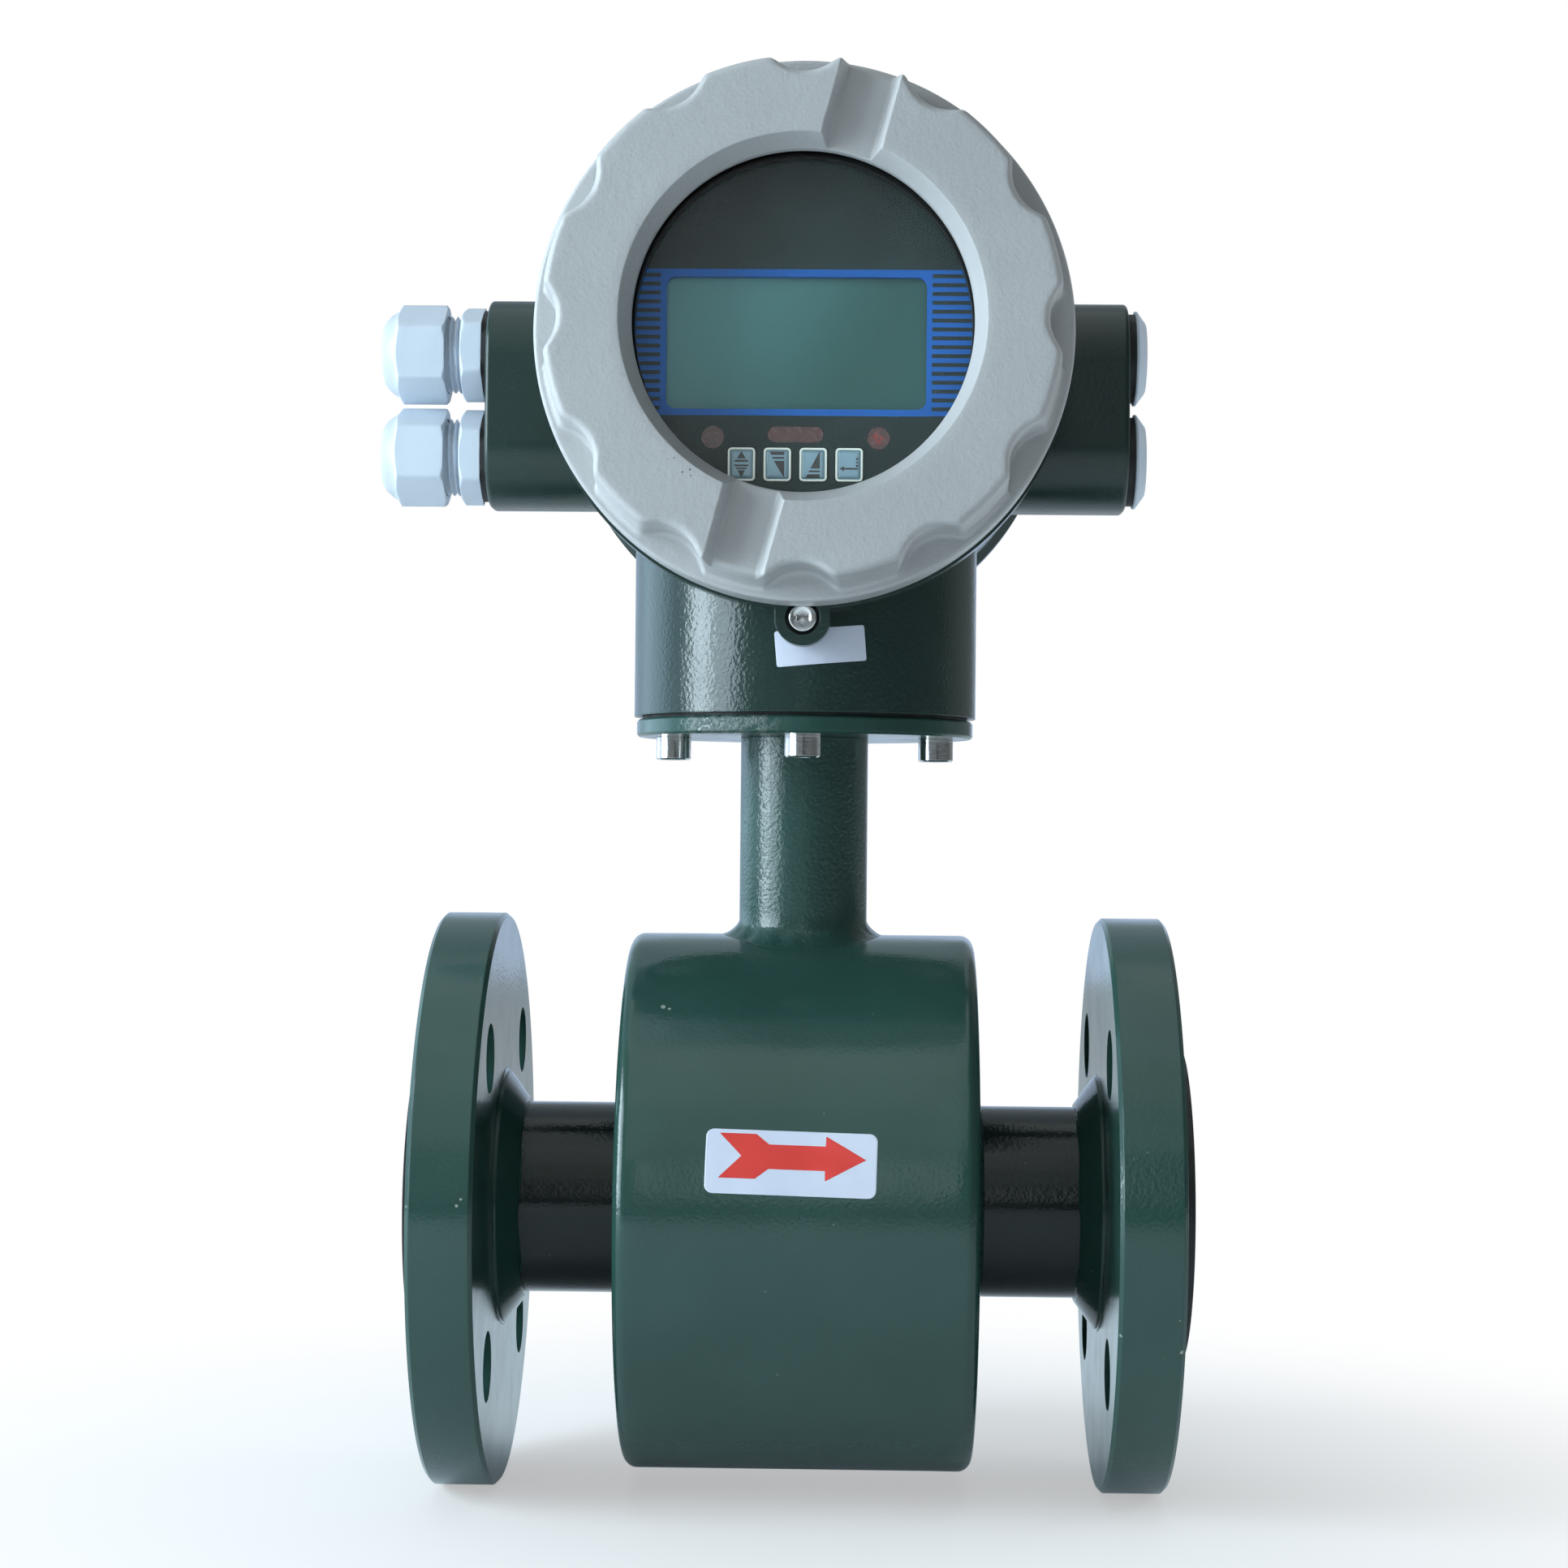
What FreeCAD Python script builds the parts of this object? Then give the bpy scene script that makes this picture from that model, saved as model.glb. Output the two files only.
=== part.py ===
"""Electromagnetic flow meter with welded flanges and a round transmitter head.

Frame: the origin is where the pipe axis meets the stem axis, +X is the flow direction,
+Z is up and the display faces -Y. All lengths are millimetres.
"""
import FreeCAD, Part
import math
import os
import Sketcher

KEY_NAMES = ("select_key", "down_key", "up_key", "enter_key")

DIMENSIONS = {
    # Fits, and how far a cut runs past what it cuts
    "fit_gap": 0.1,
    "snug_gap": 0.05,
    "cut_margin": 1.0,
    # Measuring section
    "face_to_face": 200.0,
    "nominal_bore": 40.0,
    "liner_wall": 2.5,
    "flare_od": 82.0,
    "flare_thick": 3.0,
    "tube_od": 50.0,
    "flange_od": 150.0,
    "flange_thick": 16.5,
    "flange_edge": 1.0,
    "raised_od": 84.0,
    "raised_height": 2.25,
    "bolt_circle": 110.0,
    "bolt_hole": 18.0,
    "bolt_count": 4,
    "flange_weld_radial": 8.0,
    "flange_weld_axial": 6.0,
    "flange_weld_toe": 1.0,
    # Coil housing and what it holds
    "drum_od": 140.0,
    "drum_length": 90.0,
    "drum_wall": 4.0,
    "drum_edge": 3.5,
    "drum_weld_radial": 3.0,
    "drum_weld_axial": 2.6,
    "drum_weld_toe": 0.8,
    "coil_inner": 56.0,
    "coil_outer": 76.0,
    "coil_length": 64.0,
    "coil_arc": 116.0,
    "coil_window_length": 32.0,
    "coil_window_arc": 54.0,
    "pole_inner": 52.0,
    "pole_length": 26.0,
    "pole_arc": 44.0,
    "yoke_inner": 80.0,
    "yoke_wall": 3.0,
    "yoke_length": 68.0,
    "electrode_head": 8.0,
    "electrode_head_thick": 1.6,
    "electrode_pin": 5.0,
    "electrode_reach": 36.0,
    "bushing_od": 9.6,
    "bushing_flange": 14.0,
    "bushing_flange_thick": 2.0,
    "bushing_seat": 0.6,
    "bushing_setback": 0.3,
    "electrode_nut": 10.0,
    "electrode_nut_thick": 4.0,
    # Stem and the bolted joint under the head
    "stem_od": 33.7,
    "stem_wall": 3.0,
    "stem_weld_radial": 4.3,
    "stem_weld_height": 4.0,
    "stem_weld_skirt": 0.6,
    "stem_weld_toe": 1.2,
    "stem_root": 58.0,
    "plate_od": 89.0,
    "plate_thick": 4.5,
    "plate_bottom": 122.0,
    "plate_edge": 0.6,
    "gasket_od": 86.0,
    "gasket_thick": 0.8,
    "screw_circle": 69.5,
    "screw_count": 4,
    "screw_size": 5.0,
    "screw_head": 9.2,
    "screw_head_height": 5.2,
    "screw_socket": 4.0,
    "screw_edge": 0.4,
    "screw_grip": 18.0,
    "screw_hole": 5.5,
    "washer_od": 9.2,
    "washer_thick": 0.8,
    "cable_od": 7.0,
    "cable_offset": 8.0,
    "cable_start": 46.0,
    "cable_clearance": 1.5,
    "connector_width": 18.0,
    "connector_depth": 24.0,
    "connector_height": 14.0,
    "connector_drop": 48.0,
    "connector_corner": 1.5,
    # Transmitter housing
    "head_height": 219.5,
    "front_shoulder": 52.0,
    "rear_shoulder": 46.0,
    "front_spigot": 14.0,
    "rear_spigot": 12.0,
    "spigot_od": 122.6,
    "collar_od": 134.0,
    "collar_width": 8.0,
    "barrel_od": 130.0,
    "chamber_od": 112.0,
    "bulkhead_front": 16.0,
    "bulkhead_rear": 11.0,
    "neck_od": 90.4,
    "neck_bore": 54.0,
    "neck_bore_top": 60.0,
    "passage_overrun": 6.0,
    "boss_span": 168.0,
    "boss_width": 38.0,
    "boss_height": 55.0,
    "boss_corner": 16.0,
    "boss_edge": 1.2,
    "boss_drop": 9.75,
    "port_spacing": 27.4,
    "port_bore": 20.0,
    "lug_width": 14.0,
    "lug_drop": 69.0,
    "lug_depth": 8.0,
    "lock_head": 7.2,
    "lock_head_height": 4.0,
    "lock_size": 4.0,
    "lock_socket": 3.0,
    "lock_recess": 8.6,
    "lock_setback": 0.3,
    "lock_hole_depth": 14.0,
    # Covers
    "cover_gap": 0.3,
    "spigot_gap": 0.5,
    "skirt_od": 132.6,
    "skirt_depth": 16.7,
    "skirt_edge": 0.8,
    "lobe_base_od": 126.0,
    "lobe_front_od": 122.6,
    "front_cover_depth": 38.7,
    "rear_cover_depth": 27.6,
    "rear_skirt_depth": 14.0,
    "cover_bore": 123.4,
    "cover_inner_od": 114.0,
    "scallop_count": 12,
    "scallop_radius": 11.0,
    "scallop_depth": 2.9,
    "scallop_blend": 4.0,
    "face_edge": 1.5,
    "slot_width": 14.5,
    "slot_depth": 6.5,
    "slot_turn": 15.0,
    "rear_slot_depth": 3.5,
    "window_od": 82.4,
    "window_front_od": 88.0,
    "window_bevel": 7.0,
    "window_land": 2.5,
    "glass_od": 92.0,
    "glass_thick": 6.0,
    "glass_edge": 0.5,
    "glass_seat_od": 93.0,
    "window_gasket_thick": 1.0,
    "window_gasket_setback": 0.2,
    "retainer_thick": 4.0,
    "retainer_id": 82.0,
    "retainer_recess": 0.4,
    "notch_count": 2,
    "notch_width": 4.0,
    "notch_depth": 1.5,
    "seal_section": 2.5,
    "seal_groove_width": 2.8,
    "seal_groove_od": 128.4,
    "seal_groove_start": 2.2,
    "seal_gap": 0.2,
    "rear_face_thick": 5.0,
    "rear_dish_od": 84.0,
    "rear_dish_depth": 2.0,
    # Display stack
    "panel_face": 69.6,
    "panel_od": 108.0,
    "panel_thick": 2.0,
    "panel_shift": -1.8,
    "lcd_width": 63.5,
    "lcd_height": 32.3,
    "lcd_corner": 2.4,
    "lcd_drop": 3.4,
    "lcd_border": 1.5,
    "lcd_thick": 4.0,
    "lcd_body_corner": 1.5,
    "key_width": 6.7,
    "key_height": 8.2,
    "key_corner": 1.0,
    "key_pitch": 8.75,
    "key_drop": 33.1,
    "key_proud": 0.5,
    "key_gap": 0.2,
    "key_flange": 0.6,
    "key_flange_thick": 0.8,
    "key_back_gap": 0.3,
    "key_bevel": 0.3,
    "key_travel": 0.5,
    "switch_size": 6.0,
    "switch_corner": 0.6,
    "lens_od": 5.6,
    "lens_spread": 20.2,
    "lens_drop": 26.5,
    "bar_lens_width": 13.8,
    "bar_lens_height": 4.0,
    "bar_lens_drop": 25.7,
    "lens_recess": 0.2,
    "board_od": 102.0,
    "board_thick": 1.6,
    "display_board_face": 61.0,
    "main_board_face": 38.0,
    "power_width": 44.0,
    "power_height": 34.0,
    "power_corner": 2.0,
    "power_gap": 2.0,
    "post_circle": 94.0,
    "post_count": 4,
    "post_od": 6.0,
    "post_clearance": 0.4,
    "panel_screw_size": 2.8,
    "panel_screw_head": 5.2,
    "panel_screw_head_height": 1.2,
    "panel_screw_grip": 6.0,
    # Terminal strip
    "terminal_width": 76.0,
    "terminal_height": 16.0,
    "terminal_depth": 20.0,
    "terminal_raise": 28.0,
    "terminal_count": 8,
    "terminal_pitch": 9.0,
    "terminal_corner": 1.0,
    "terminal_entry": 5.6,
    "terminal_entry_height": 6.0,
    "terminal_entry_depth": 9.6,
    "terminal_screw": 4.4,
    "terminal_screw_depth": 6.0,
    "terminal_screw_thick": 3.0,
    # Cable glands and blanking plugs
    "gland_washer_od": 23.4,
    "gland_washer_thick": 2.0,
    "port_thread": 19.6,
    "port_thread_length": 10.0,
    "gland_hex": 22.4,
    "gland_hex_length": 6.5,
    "gland_thread": 19.8,
    "gland_thread_length": 11.5,
    "gland_thread_lead": 1.0,
    "gland_bore": 15.2,
    "gland_bevel": 1.4,
    "gland_bevel_reach": 2.4,
    "nut_hex": 23.2,
    "nut_corner": 26.4,
    "nut_start": 11.7,
    "nut_length": 17.0,
    "nut_bore": 20.4,
    "nut_bore_depth": 9.5,
    "nut_mouth": 12.4,
    "nut_lip": 0.5,
    "nut_cap": 2.6,
    "nut_dome": 7.4,
    "nut_shoulder": 21.2,
    "nut_shoulder_drop": 3.4,
    "nut_end": 14.2,
    "nut_blend": 6.0,
    "seal_bore": 10.0,
    "seal_od": 14.6,
    "seal_clearance": 0.4,
    "seal_start": 14.0,
    "seal_length": 11.6,
    "plug_head": 25.0,
    "plug_head_thick": 3.1,
    "plug_flat": 10.6,
    "plug_slope": 1.2,
    "plug_slot_width": 2.4,
    "plug_slot_depth": 1.4,
    "plug_washer_od": 23.5,
    "plug_washer_thick": 2.2,
    "washer_clearance": 0.6,
}

UPRIGHT = FreeCAD.Rotation()
TO_OUTLET = FreeCAD.Rotation(FreeCAD.Vector(0, 1, 0), 90)
TO_INLET = FreeCAD.Rotation(FreeCAD.Vector(0, 1, 0), -90)
TO_FRONT = FreeCAD.Rotation(FreeCAD.Vector(1, 0, 0), 90)
TO_REAR = FreeCAD.Rotation(FreeCAD.Vector(1, 0, 0), -90)
ORIGIN = ("0", "0", "0")
HEAD = ("0", "0", "dims.head_height")
ZERO = 1e-9
TOUCH = 1e-3
DIAGONAL = math.sqrt(0.5)

# Places that several pieces share, as formulas over the sheet
BORE_R = "dims.nominal_bore / 2"
TUBE_BORE_R = "(dims.nominal_bore / 2 + dims.liner_wall)"
TUBE_R = "dims.tube_od / 2"
TUBE_END = "(dims.face_to_face / 2 - dims.flare_thick)"
FLANGE_INNER = f"({TUBE_END} - dims.raised_height - dims.flange_thick)"
STEM_BORE_R = "(dims.stem_od / 2 - dims.stem_wall)"
PLATE_TOP = "(dims.plate_bottom + dims.plate_thick)"
NECK_BOTTOM = f"({PLATE_TOP} + dims.gasket_thick)"
NECK_DROP = f"(dims.head_height - {NECK_BOTTOM})"
FRONT_COVER_Y = "-(dims.front_shoulder + dims.cover_gap)"
REAR_COVER_Y = "(dims.rear_shoulder + dims.cover_gap)"
GLASS_SEAT = "(dims.front_cover_depth - dims.window_bevel - dims.window_land)"
GLASS_TOP = f"({GLASS_SEAT} - dims.window_gasket_thick)"
RETAINER_TOP = f"({GLASS_TOP} - dims.glass_thick)"
RETAINER_BOTTOM = f"({RETAINER_TOP} - dims.retainer_thick)"
PORT_FACE = "dims.boss_span / 2"
PANEL_BACK = "(dims.panel_face - dims.panel_thick)"
KEY_BACK = "(dims.key_flange_thick + dims.key_back_gap)"

doc = FreeCAD.newDocument("electromagnetic_flow_meter")
sheet = doc.addObject("Spreadsheet::Sheet", "dims")
for row, (name, size) in enumerate(DIMENSIONS.items(), 1):
    sheet.set(f"A{row}", name)
    sheet.set(f"B{row}", str(size))
    sheet.setAlias(f"B{row}", name)
doc.recompute()

nodes = []


def number(formula):
    """The value of a formula over the sheet's cells."""
    return float(sheet.evalExpression(formula))


def new_body(label, where=ORIGIN, turn=UPRIGHT):
    """An empty body whose own Z axis is turned and whose origin is bound to the sheet."""
    item = doc.addObject("PartDesign::Body", label)
    item.Label = label
    item.AllowCompound = True
    item.Placement = FreeCAD.Placement(FreeCAD.Vector(), turn)
    for axis, formula in zip("xyz", where):
        if formula != "0":
            item.setExpression(f"Placement.Base.{axis}", formula)
    nodes.append(item)
    return item


def origin_feature(item, role):
    return next(f for f in item.Origin.OriginFeatures if f.Role == role)


def sketch_on(item, plane, lift="0", across="0"):
    """A sketch on an origin plane, lifted along its normal and moved across along its own X."""
    sketch = item.newObject("Sketcher::SketchObject", f"{item.Name}_sketch")
    sketch.AttachmentSupport = [(origin_feature(item, plane), "")]
    sketch.MapMode = "FlatFace"
    if lift != "0":
        sketch.setExpression("AttachmentOffset.Base.z", lift)
    if across != "0":
        sketch.setExpression("AttachmentOffset.Base.x", across)
    return sketch


def pin(sketch, geometry, vertex, place):
    """Ties a point of the sketch to a place given by two formulas."""
    for kind, axis, formula in (("DistanceX", -2, place[0]), ("DistanceY", -1, place[1])):
        size = number(formula)
        if abs(size) < ZERO:
            sketch.addConstraint(Sketcher.Constraint("PointOnObject", geometry, vertex, axis))
        elif size > 0:
            index = sketch.addConstraint(Sketcher.Constraint(kind, -1, 1, geometry, vertex, size))
            sketch.setExpression(f"Constraints[{index}]", formula)
        else:
            index = sketch.addConstraint(Sketcher.Constraint(kind, geometry, vertex, -1, 1, -size))
            sketch.setExpression(f"Constraints[{index}]", f"-({formula})")


def outline(sketch, corners):
    """A closed outline of straight lines through the corners."""
    points = [FreeCAD.Vector(number(u), number(v), 0) for u, v in corners]
    first = sketch.GeometryCount
    count = len(points)
    for i in range(count):
        sketch.addGeometry(Part.LineSegment(points[i], points[(i + 1) % count]), False)
    for i in range(count):
        following = first + (i + 1) % count
        sketch.addConstraint(Sketcher.Constraint("Coincident", first + i, 2, following, 1))
        pin(sketch, first + i, 1, corners[i])


def circle(sketch, radius, centre=("0", "0")):
    middle = FreeCAD.Vector(number(centre[0]), number(centre[1]), 0)
    shape = Part.Circle(middle, FreeCAD.Vector(0, 0, 1), number(radius))
    index = sketch.addGeometry(shape, False)
    pin(sketch, index, 3, centre)
    size = sketch.addConstraint(Sketcher.Constraint("Radius", index, number(radius)))
    sketch.setExpression(f"Constraints[{size}]", radius)


def rounded_outline(sketch, corners, radius):
    """A closed outline of tangent lines and arcs; corners are the arcs' centres, anticlockwise."""
    reach = number(radius)
    centres = [FreeCAD.Vector(number(u), number(v), 0) for u, v in corners]
    count = len(centres)
    first = sketch.GeometryCount
    normals = []
    for i in range(count):
        run = centres[(i + 1) % count] - centres[i]
        normals.append(math.atan2(-run.x, run.y))
    for i in range(count):
        arriving = normals[i - 1]
        leaving = normals[i]
        if leaving < arriving:
            leaving += 2 * math.pi
        ring = Part.Circle(centres[i], FreeCAD.Vector(0, 0, 1), reach)
        sketch.addGeometry(Part.ArcOfCircle(ring, arriving, leaving), False)
    for i in range(count):
        side = FreeCAD.Vector(math.cos(normals[i]), math.sin(normals[i]), 0) * reach
        start = centres[i] + side
        end = centres[(i + 1) % count] + side
        sketch.addGeometry(Part.LineSegment(start, end), False)
    for i in range(count):
        arc = first + i
        line = first + count + i
        following = first + (i + 1) % count
        sketch.addConstraint(Sketcher.Constraint("Tangent", arc, 2, line, 1))
        sketch.addConstraint(Sketcher.Constraint("Tangent", line, 2, following, 1))
        pin(sketch, arc, 3, corners[i])
        size = sketch.addConstraint(Sketcher.Constraint("Radius", arc, reach))
        sketch.setExpression(f"Constraints[{size}]", radius)


def rounded_rectangle(sketch, width, height, radius, centre=("0", "0")):
    half_u = f"(({width}) / 2 - ({radius}))"
    half_v = f"(({height}) / 2 - ({radius}))"
    u, v = centre
    corners = [
        (f"{u} + {half_u}", f"{v} - {half_v}"),
        (f"{u} + {half_u}", f"{v} + {half_v}"),
        (f"{u} - {half_u}", f"{v} + {half_v}"),
        (f"{u} - {half_u}", f"{v} - {half_v}"),
    ]
    rounded_outline(sketch, corners, radius)


def hexagon(sketch, across_flats):
    corners = []
    for k in range(6):
        angle = math.radians(60 * k)
        u = f"{math.cos(angle) / math.sqrt(3)} * {across_flats}"
        v = f"{math.sin(angle) / math.sqrt(3)} * {across_flats}"
        corners.append((u, v))
    outline(sketch, corners)


def checked(item, feature, before, grows):
    """Recomputes and makes sure that a feature added or removed material as meant."""
    doc.recompute()
    change = item.Shape.Volume - before
    if (change > ZERO) != grows or abs(change) < ZERO:
        raise RuntimeError(f"{feature.Label} of {item.Label} changed the volume by {change}")
    return feature


def turn_profile(item, sketch, axis="V_Axis", cut=False, arc=None):
    """Revolves a sketch about one of its axes, the whole way or over an arc centred on it."""
    before = item.Shape.Volume if item.Tip else 0
    kind = "Groove" if cut else "Revolution"
    feature = item.newObject(f"PartDesign::{kind}", f"{item.Name}_{kind}")
    feature.Profile = sketch
    feature.ReferenceAxis = (sketch, [axis])
    if arc is None:
        feature.Angle = 360
    else:
        feature.Midplane = True
        feature.setExpression("Angle", arc)
    return checked(item, feature, before, not cut)


def extrude(item, sketch, length, cut=False, symmetric=False, backwards=False):
    """Pads a sketch along its normal, or cuts it the other way; backwards swaps the side."""
    before = item.Shape.Volume if item.Tip else 0
    kind = "Pocket" if cut else "Pad"
    feature = item.newObject(f"PartDesign::{kind}", f"{item.Name}_{kind}")
    feature.Profile = sketch
    feature.setExpression("Length", length)
    if symmetric:
        feature.SideType = "Symmetric"
    feature.Reversed = backwards
    return checked(item, feature, before, not cut)


def repeat_around(item, features, count, grows=False):
    before = item.Shape.Volume
    pattern = item.newObject("PartDesign::PolarPattern", f"{item.Name}_pattern")
    pattern.Originals = features
    pattern.Axis = (origin_feature(item, "Z_Axis"), [""])
    pattern.Angle = 360
    pattern.setExpression("Occurrences", count)
    item.Tip = pattern
    return checked(item, pattern, before, grows)


def repeat_along(item, features, role, pitch, count, grows=False):
    before = item.Shape.Volume
    pattern = item.newObject("PartDesign::LinearPattern", f"{item.Name}_pattern")
    pattern.Originals = features
    pattern.Direction = (origin_feature(item, role), [""])
    pattern.setExpression("Length", f"{pitch} * ({count} - 1)")
    pattern.setExpression("Occurrences", count)
    item.Tip = pattern
    return checked(item, pattern, before, grows)


def round_edges(item, radius, chosen):
    """Rounds the edges of the body that the test picks."""
    tip = item.Tip
    names = [f"Edge{i}" for i, edge in enumerate(tip.Shape.Edges, 1) if chosen(edge)]
    feature = item.newObject("PartDesign::Fillet", f"{item.Name}_rounding")
    feature.Base = (tip, names)
    feature.setExpression("Radius", radius)
    doc.recompute()
    return feature


def bevel_edges(item, size, chosen):
    """Bevels the edges of the body that the test picks."""
    tip = item.Tip
    names = [f"Edge{i}" for i, edge in enumerate(tip.Shape.Edges, 1) if chosen(edge)]
    feature = item.newObject("PartDesign::Chamfer", f"{item.Name}_bevel")
    feature.Base = (tip, names)
    feature.setExpression("Size", size)
    doc.recompute()
    return feature


def circle_at(edge, radius, height):
    """True for a whole circle about the body's Z axis at that radius and height."""
    curve = edge.Curve
    if not isinstance(curve, Part.Circle) or len(edge.Vertexes) != 1:
        return False
    near_height = abs(curve.Center.z - height) < TOUCH
    return near_height and abs(curve.Radius - radius) < TOUCH


def turned(label, corners, where=ORIGIN, turn=UPRIGHT):
    """A piece turned about its own Z axis from (radius, height) corners."""
    item = new_body(label, where, turn)
    sketch = sketch_on(item, "XZ_Plane")
    outline(sketch, corners)
    turn_profile(item, sketch)
    return item


def ring(label, inner, outer, bottom, top, where=ORIGIN, turn=UPRIGHT):
    corners = [(inner, bottom), (outer, bottom), (outer, top), (inner, top)]
    return turned(label, corners, where, turn)


def measuring_tube():
    item = ring("measuring_tube", TUBE_BORE_R, TUBE_R, f"-{TUBE_END}", TUBE_END, turn=TO_OUTLET)
    sketch = sketch_on(item, "XZ_Plane")
    circle(sketch, "dims.bushing_od / 2 + dims.fit_gap")
    extrude(item, sketch, "dims.flange_od", cut=True, symmetric=True)


def tube_liner():
    """The rubber lining with its flared sealing faces."""
    end = "dims.face_to_face / 2"
    flare = "dims.flare_od / 2"
    corners = [
        (BORE_R, f"-{end}"),
        (flare, f"-{end}"),
        (flare, f"-{TUBE_END}"),
        (TUBE_BORE_R, f"-{TUBE_END}"),
        (TUBE_BORE_R, TUBE_END),
        (flare, TUBE_END),
        (flare, end),
        (BORE_R, end),
    ]
    item = turned("tube_liner", corners, turn=TO_OUTLET)
    sketch = sketch_on(item, "XZ_Plane")
    circle(sketch, "dims.electrode_head / 2 + dims.snug_gap")
    extrude(item, sketch, "dims.flange_od", cut=True, symmetric=True)


def pipe_flange(label, side, turn):
    """A slip-on flange with its raised face and the weld at its back; Z runs outwards."""
    rim = "dims.flange_od / 2"
    edge = "dims.flange_edge"
    thick = "dims.flange_thick"
    raised = "dims.raised_od / 2"
    top = f"({thick} + dims.raised_height)"
    toe = "dims.flange_weld_toe"
    corners = [
        (TUBE_R, "-dims.flange_weld_axial"),
        (f"{TUBE_R} + {toe}", "-dims.flange_weld_axial"),
        (f"{TUBE_R} + dims.flange_weld_radial", f"-{toe}"),
        (f"{TUBE_R} + dims.flange_weld_radial", "0"),
        (f"{rim} - {edge}", "0"),
        (rim, edge),
        (rim, f"{thick} - {edge}"),
        (f"{rim} - {edge}", thick),
        (raised, thick),
        (raised, top),
        (TUBE_R, top),
    ]
    item = turned(label, corners, (f"{side} * {FLANGE_INNER}", "0", "0"), turn)
    sketch = sketch_on(item, "XY_Plane")
    reach = f"dims.bolt_circle / 2 * {DIAGONAL}"
    circle(sketch, "dims.bolt_hole / 2", (reach, reach))
    hole = extrude(item, sketch, top, cut=True, backwards=True)
    repeat_around(item, [hole], "dims.bolt_count")


def coil_housing():
    """The closed drum round the tube, welded to it at both ends, with the cable hole on top."""
    half = "dims.drum_length / 2"
    outer = "dims.drum_od / 2"
    wall = "dims.drum_wall"
    weld = f"({half} + dims.drum_weld_axial)"
    weld_r = f"({TUBE_R} + dims.drum_weld_radial)"
    weld_toe = f"({TUBE_R} + dims.drum_weld_toe)"
    corners = [
        (TUBE_R, f"-{weld}"),
        (weld_toe, f"-{weld}"),
        (weld_r, f"-{half}"),
        (outer, f"-{half}"),
        (outer, half),
        (weld_r, half),
        (weld_toe, weld),
        (TUBE_R, weld),
        (TUBE_R, f"{half} - {wall}"),
        (f"{outer} - {wall}", f"{half} - {wall}"),
        (f"{outer} - {wall}", f"-({half} - {wall})"),
        (TUBE_R, f"-({half} - {wall})"),
    ]
    item = turned("coil_housing", corners, turn=TO_OUTLET)
    radius = number(outer)
    end = number(half)
    round_edges(
        item,
        "dims.drum_edge",
        lambda edge: circle_at(edge, radius, end) or circle_at(edge, radius, -end),
    )
    sketch = sketch_on(item, "YZ_Plane")
    circle(sketch, STEM_BORE_R)
    extrude(item, sketch, outer, cut=True)


def saddle_coil(label, turn):
    """A winding bent round the tube with an opening for its pole; its X axis is the middle."""
    item = new_body(label, turn=turn)
    winding = sketch_on(item, "XZ_Plane")
    inner = "dims.coil_inner / 2"
    outer = "dims.coil_outer / 2"
    half = "dims.coil_length / 2"
    outline(winding, [(inner, f"-{half}"), (outer, f"-{half}"), (outer, half), (inner, half)])
    turn_profile(item, winding, arc="dims.coil_arc")
    opening = sketch_on(item, "XZ_Plane")
    half = "dims.coil_window_length / 2"
    inner = f"({inner} - dims.cut_margin)"
    outer = f"({outer} + dims.cut_margin)"
    outline(opening, [(inner, f"-{half}"), (outer, f"-{half}"), (outer, half), (inner, half)])
    turn_profile(item, opening, cut=True, arc="dims.coil_window_arc")


def pole_shoe(label, turn):
    item = new_body(label, turn=turn)
    sketch = sketch_on(item, "XZ_Plane")
    inner = "dims.pole_inner / 2"
    outer = "dims.yoke_inner / 2"
    half = "dims.pole_length / 2"
    outline(sketch, [(inner, f"-{half}"), (outer, f"-{half}"), (outer, half), (inner, half)])
    turn_profile(item, sketch, arc="dims.pole_arc")


def return_yoke():
    half = "dims.yoke_length / 2"
    inner = "dims.yoke_inner / 2"
    ring("return_yoke", inner, f"{inner} + dims.yoke_wall", f"-{half}", half, turn=TO_OUTLET)


def electrode(label, turn):
    """A flat-headed pin, flush with the bore, that reaches out through the tube wall."""
    neck = f"({BORE_R} + dims.electrode_head_thick)"
    corners = [
        ("0", BORE_R),
        ("dims.electrode_head / 2", BORE_R),
        ("dims.electrode_head / 2", neck),
        ("dims.electrode_pin / 2", neck),
        ("dims.electrode_pin / 2", "dims.electrode_reach"),
        ("0", "dims.electrode_reach"),
    ]
    turned(label, corners, turn=turn)


def electrode_pair(label, corners):
    """The same turned piece round both electrodes, as two solids of one node."""
    item = new_body(label, turn=TO_FRONT)
    sketch = sketch_on(item, "XZ_Plane")
    outline(sketch, corners)
    turn_profile(item, sketch)
    mirror = item.newObject("PartDesign::Mirrored", f"{label}_mirror")
    mirror.Originals = [item.Tip]
    mirror.MirrorPlane = (origin_feature(item, "XY_Plane"), [""])
    item.Tip = mirror
    doc.recompute()


def electrode_fittings():
    seat = f"({TUBE_R} + dims.bushing_seat)"
    cap = f"({seat} + dims.bushing_flange_thick)"
    root = f"({TUBE_BORE_R} + dims.bushing_setback)"
    hole = "(dims.electrode_pin / 2 + dims.fit_gap)"
    bushing = [
        (hole, root),
        ("dims.bushing_od / 2", root),
        ("dims.bushing_od / 2", seat),
        ("dims.bushing_flange / 2", seat),
        ("dims.bushing_flange / 2", cap),
        (hole, cap),
    ]
    electrode_pair("electrode_bushings", bushing)
    top = f"({cap} + dims.electrode_nut_thick)"
    outer = "dims.electrode_nut / 2"
    electrode_pair("electrode_nuts", [(hole, cap), (outer, cap), (outer, top), (hole, top)])


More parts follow.
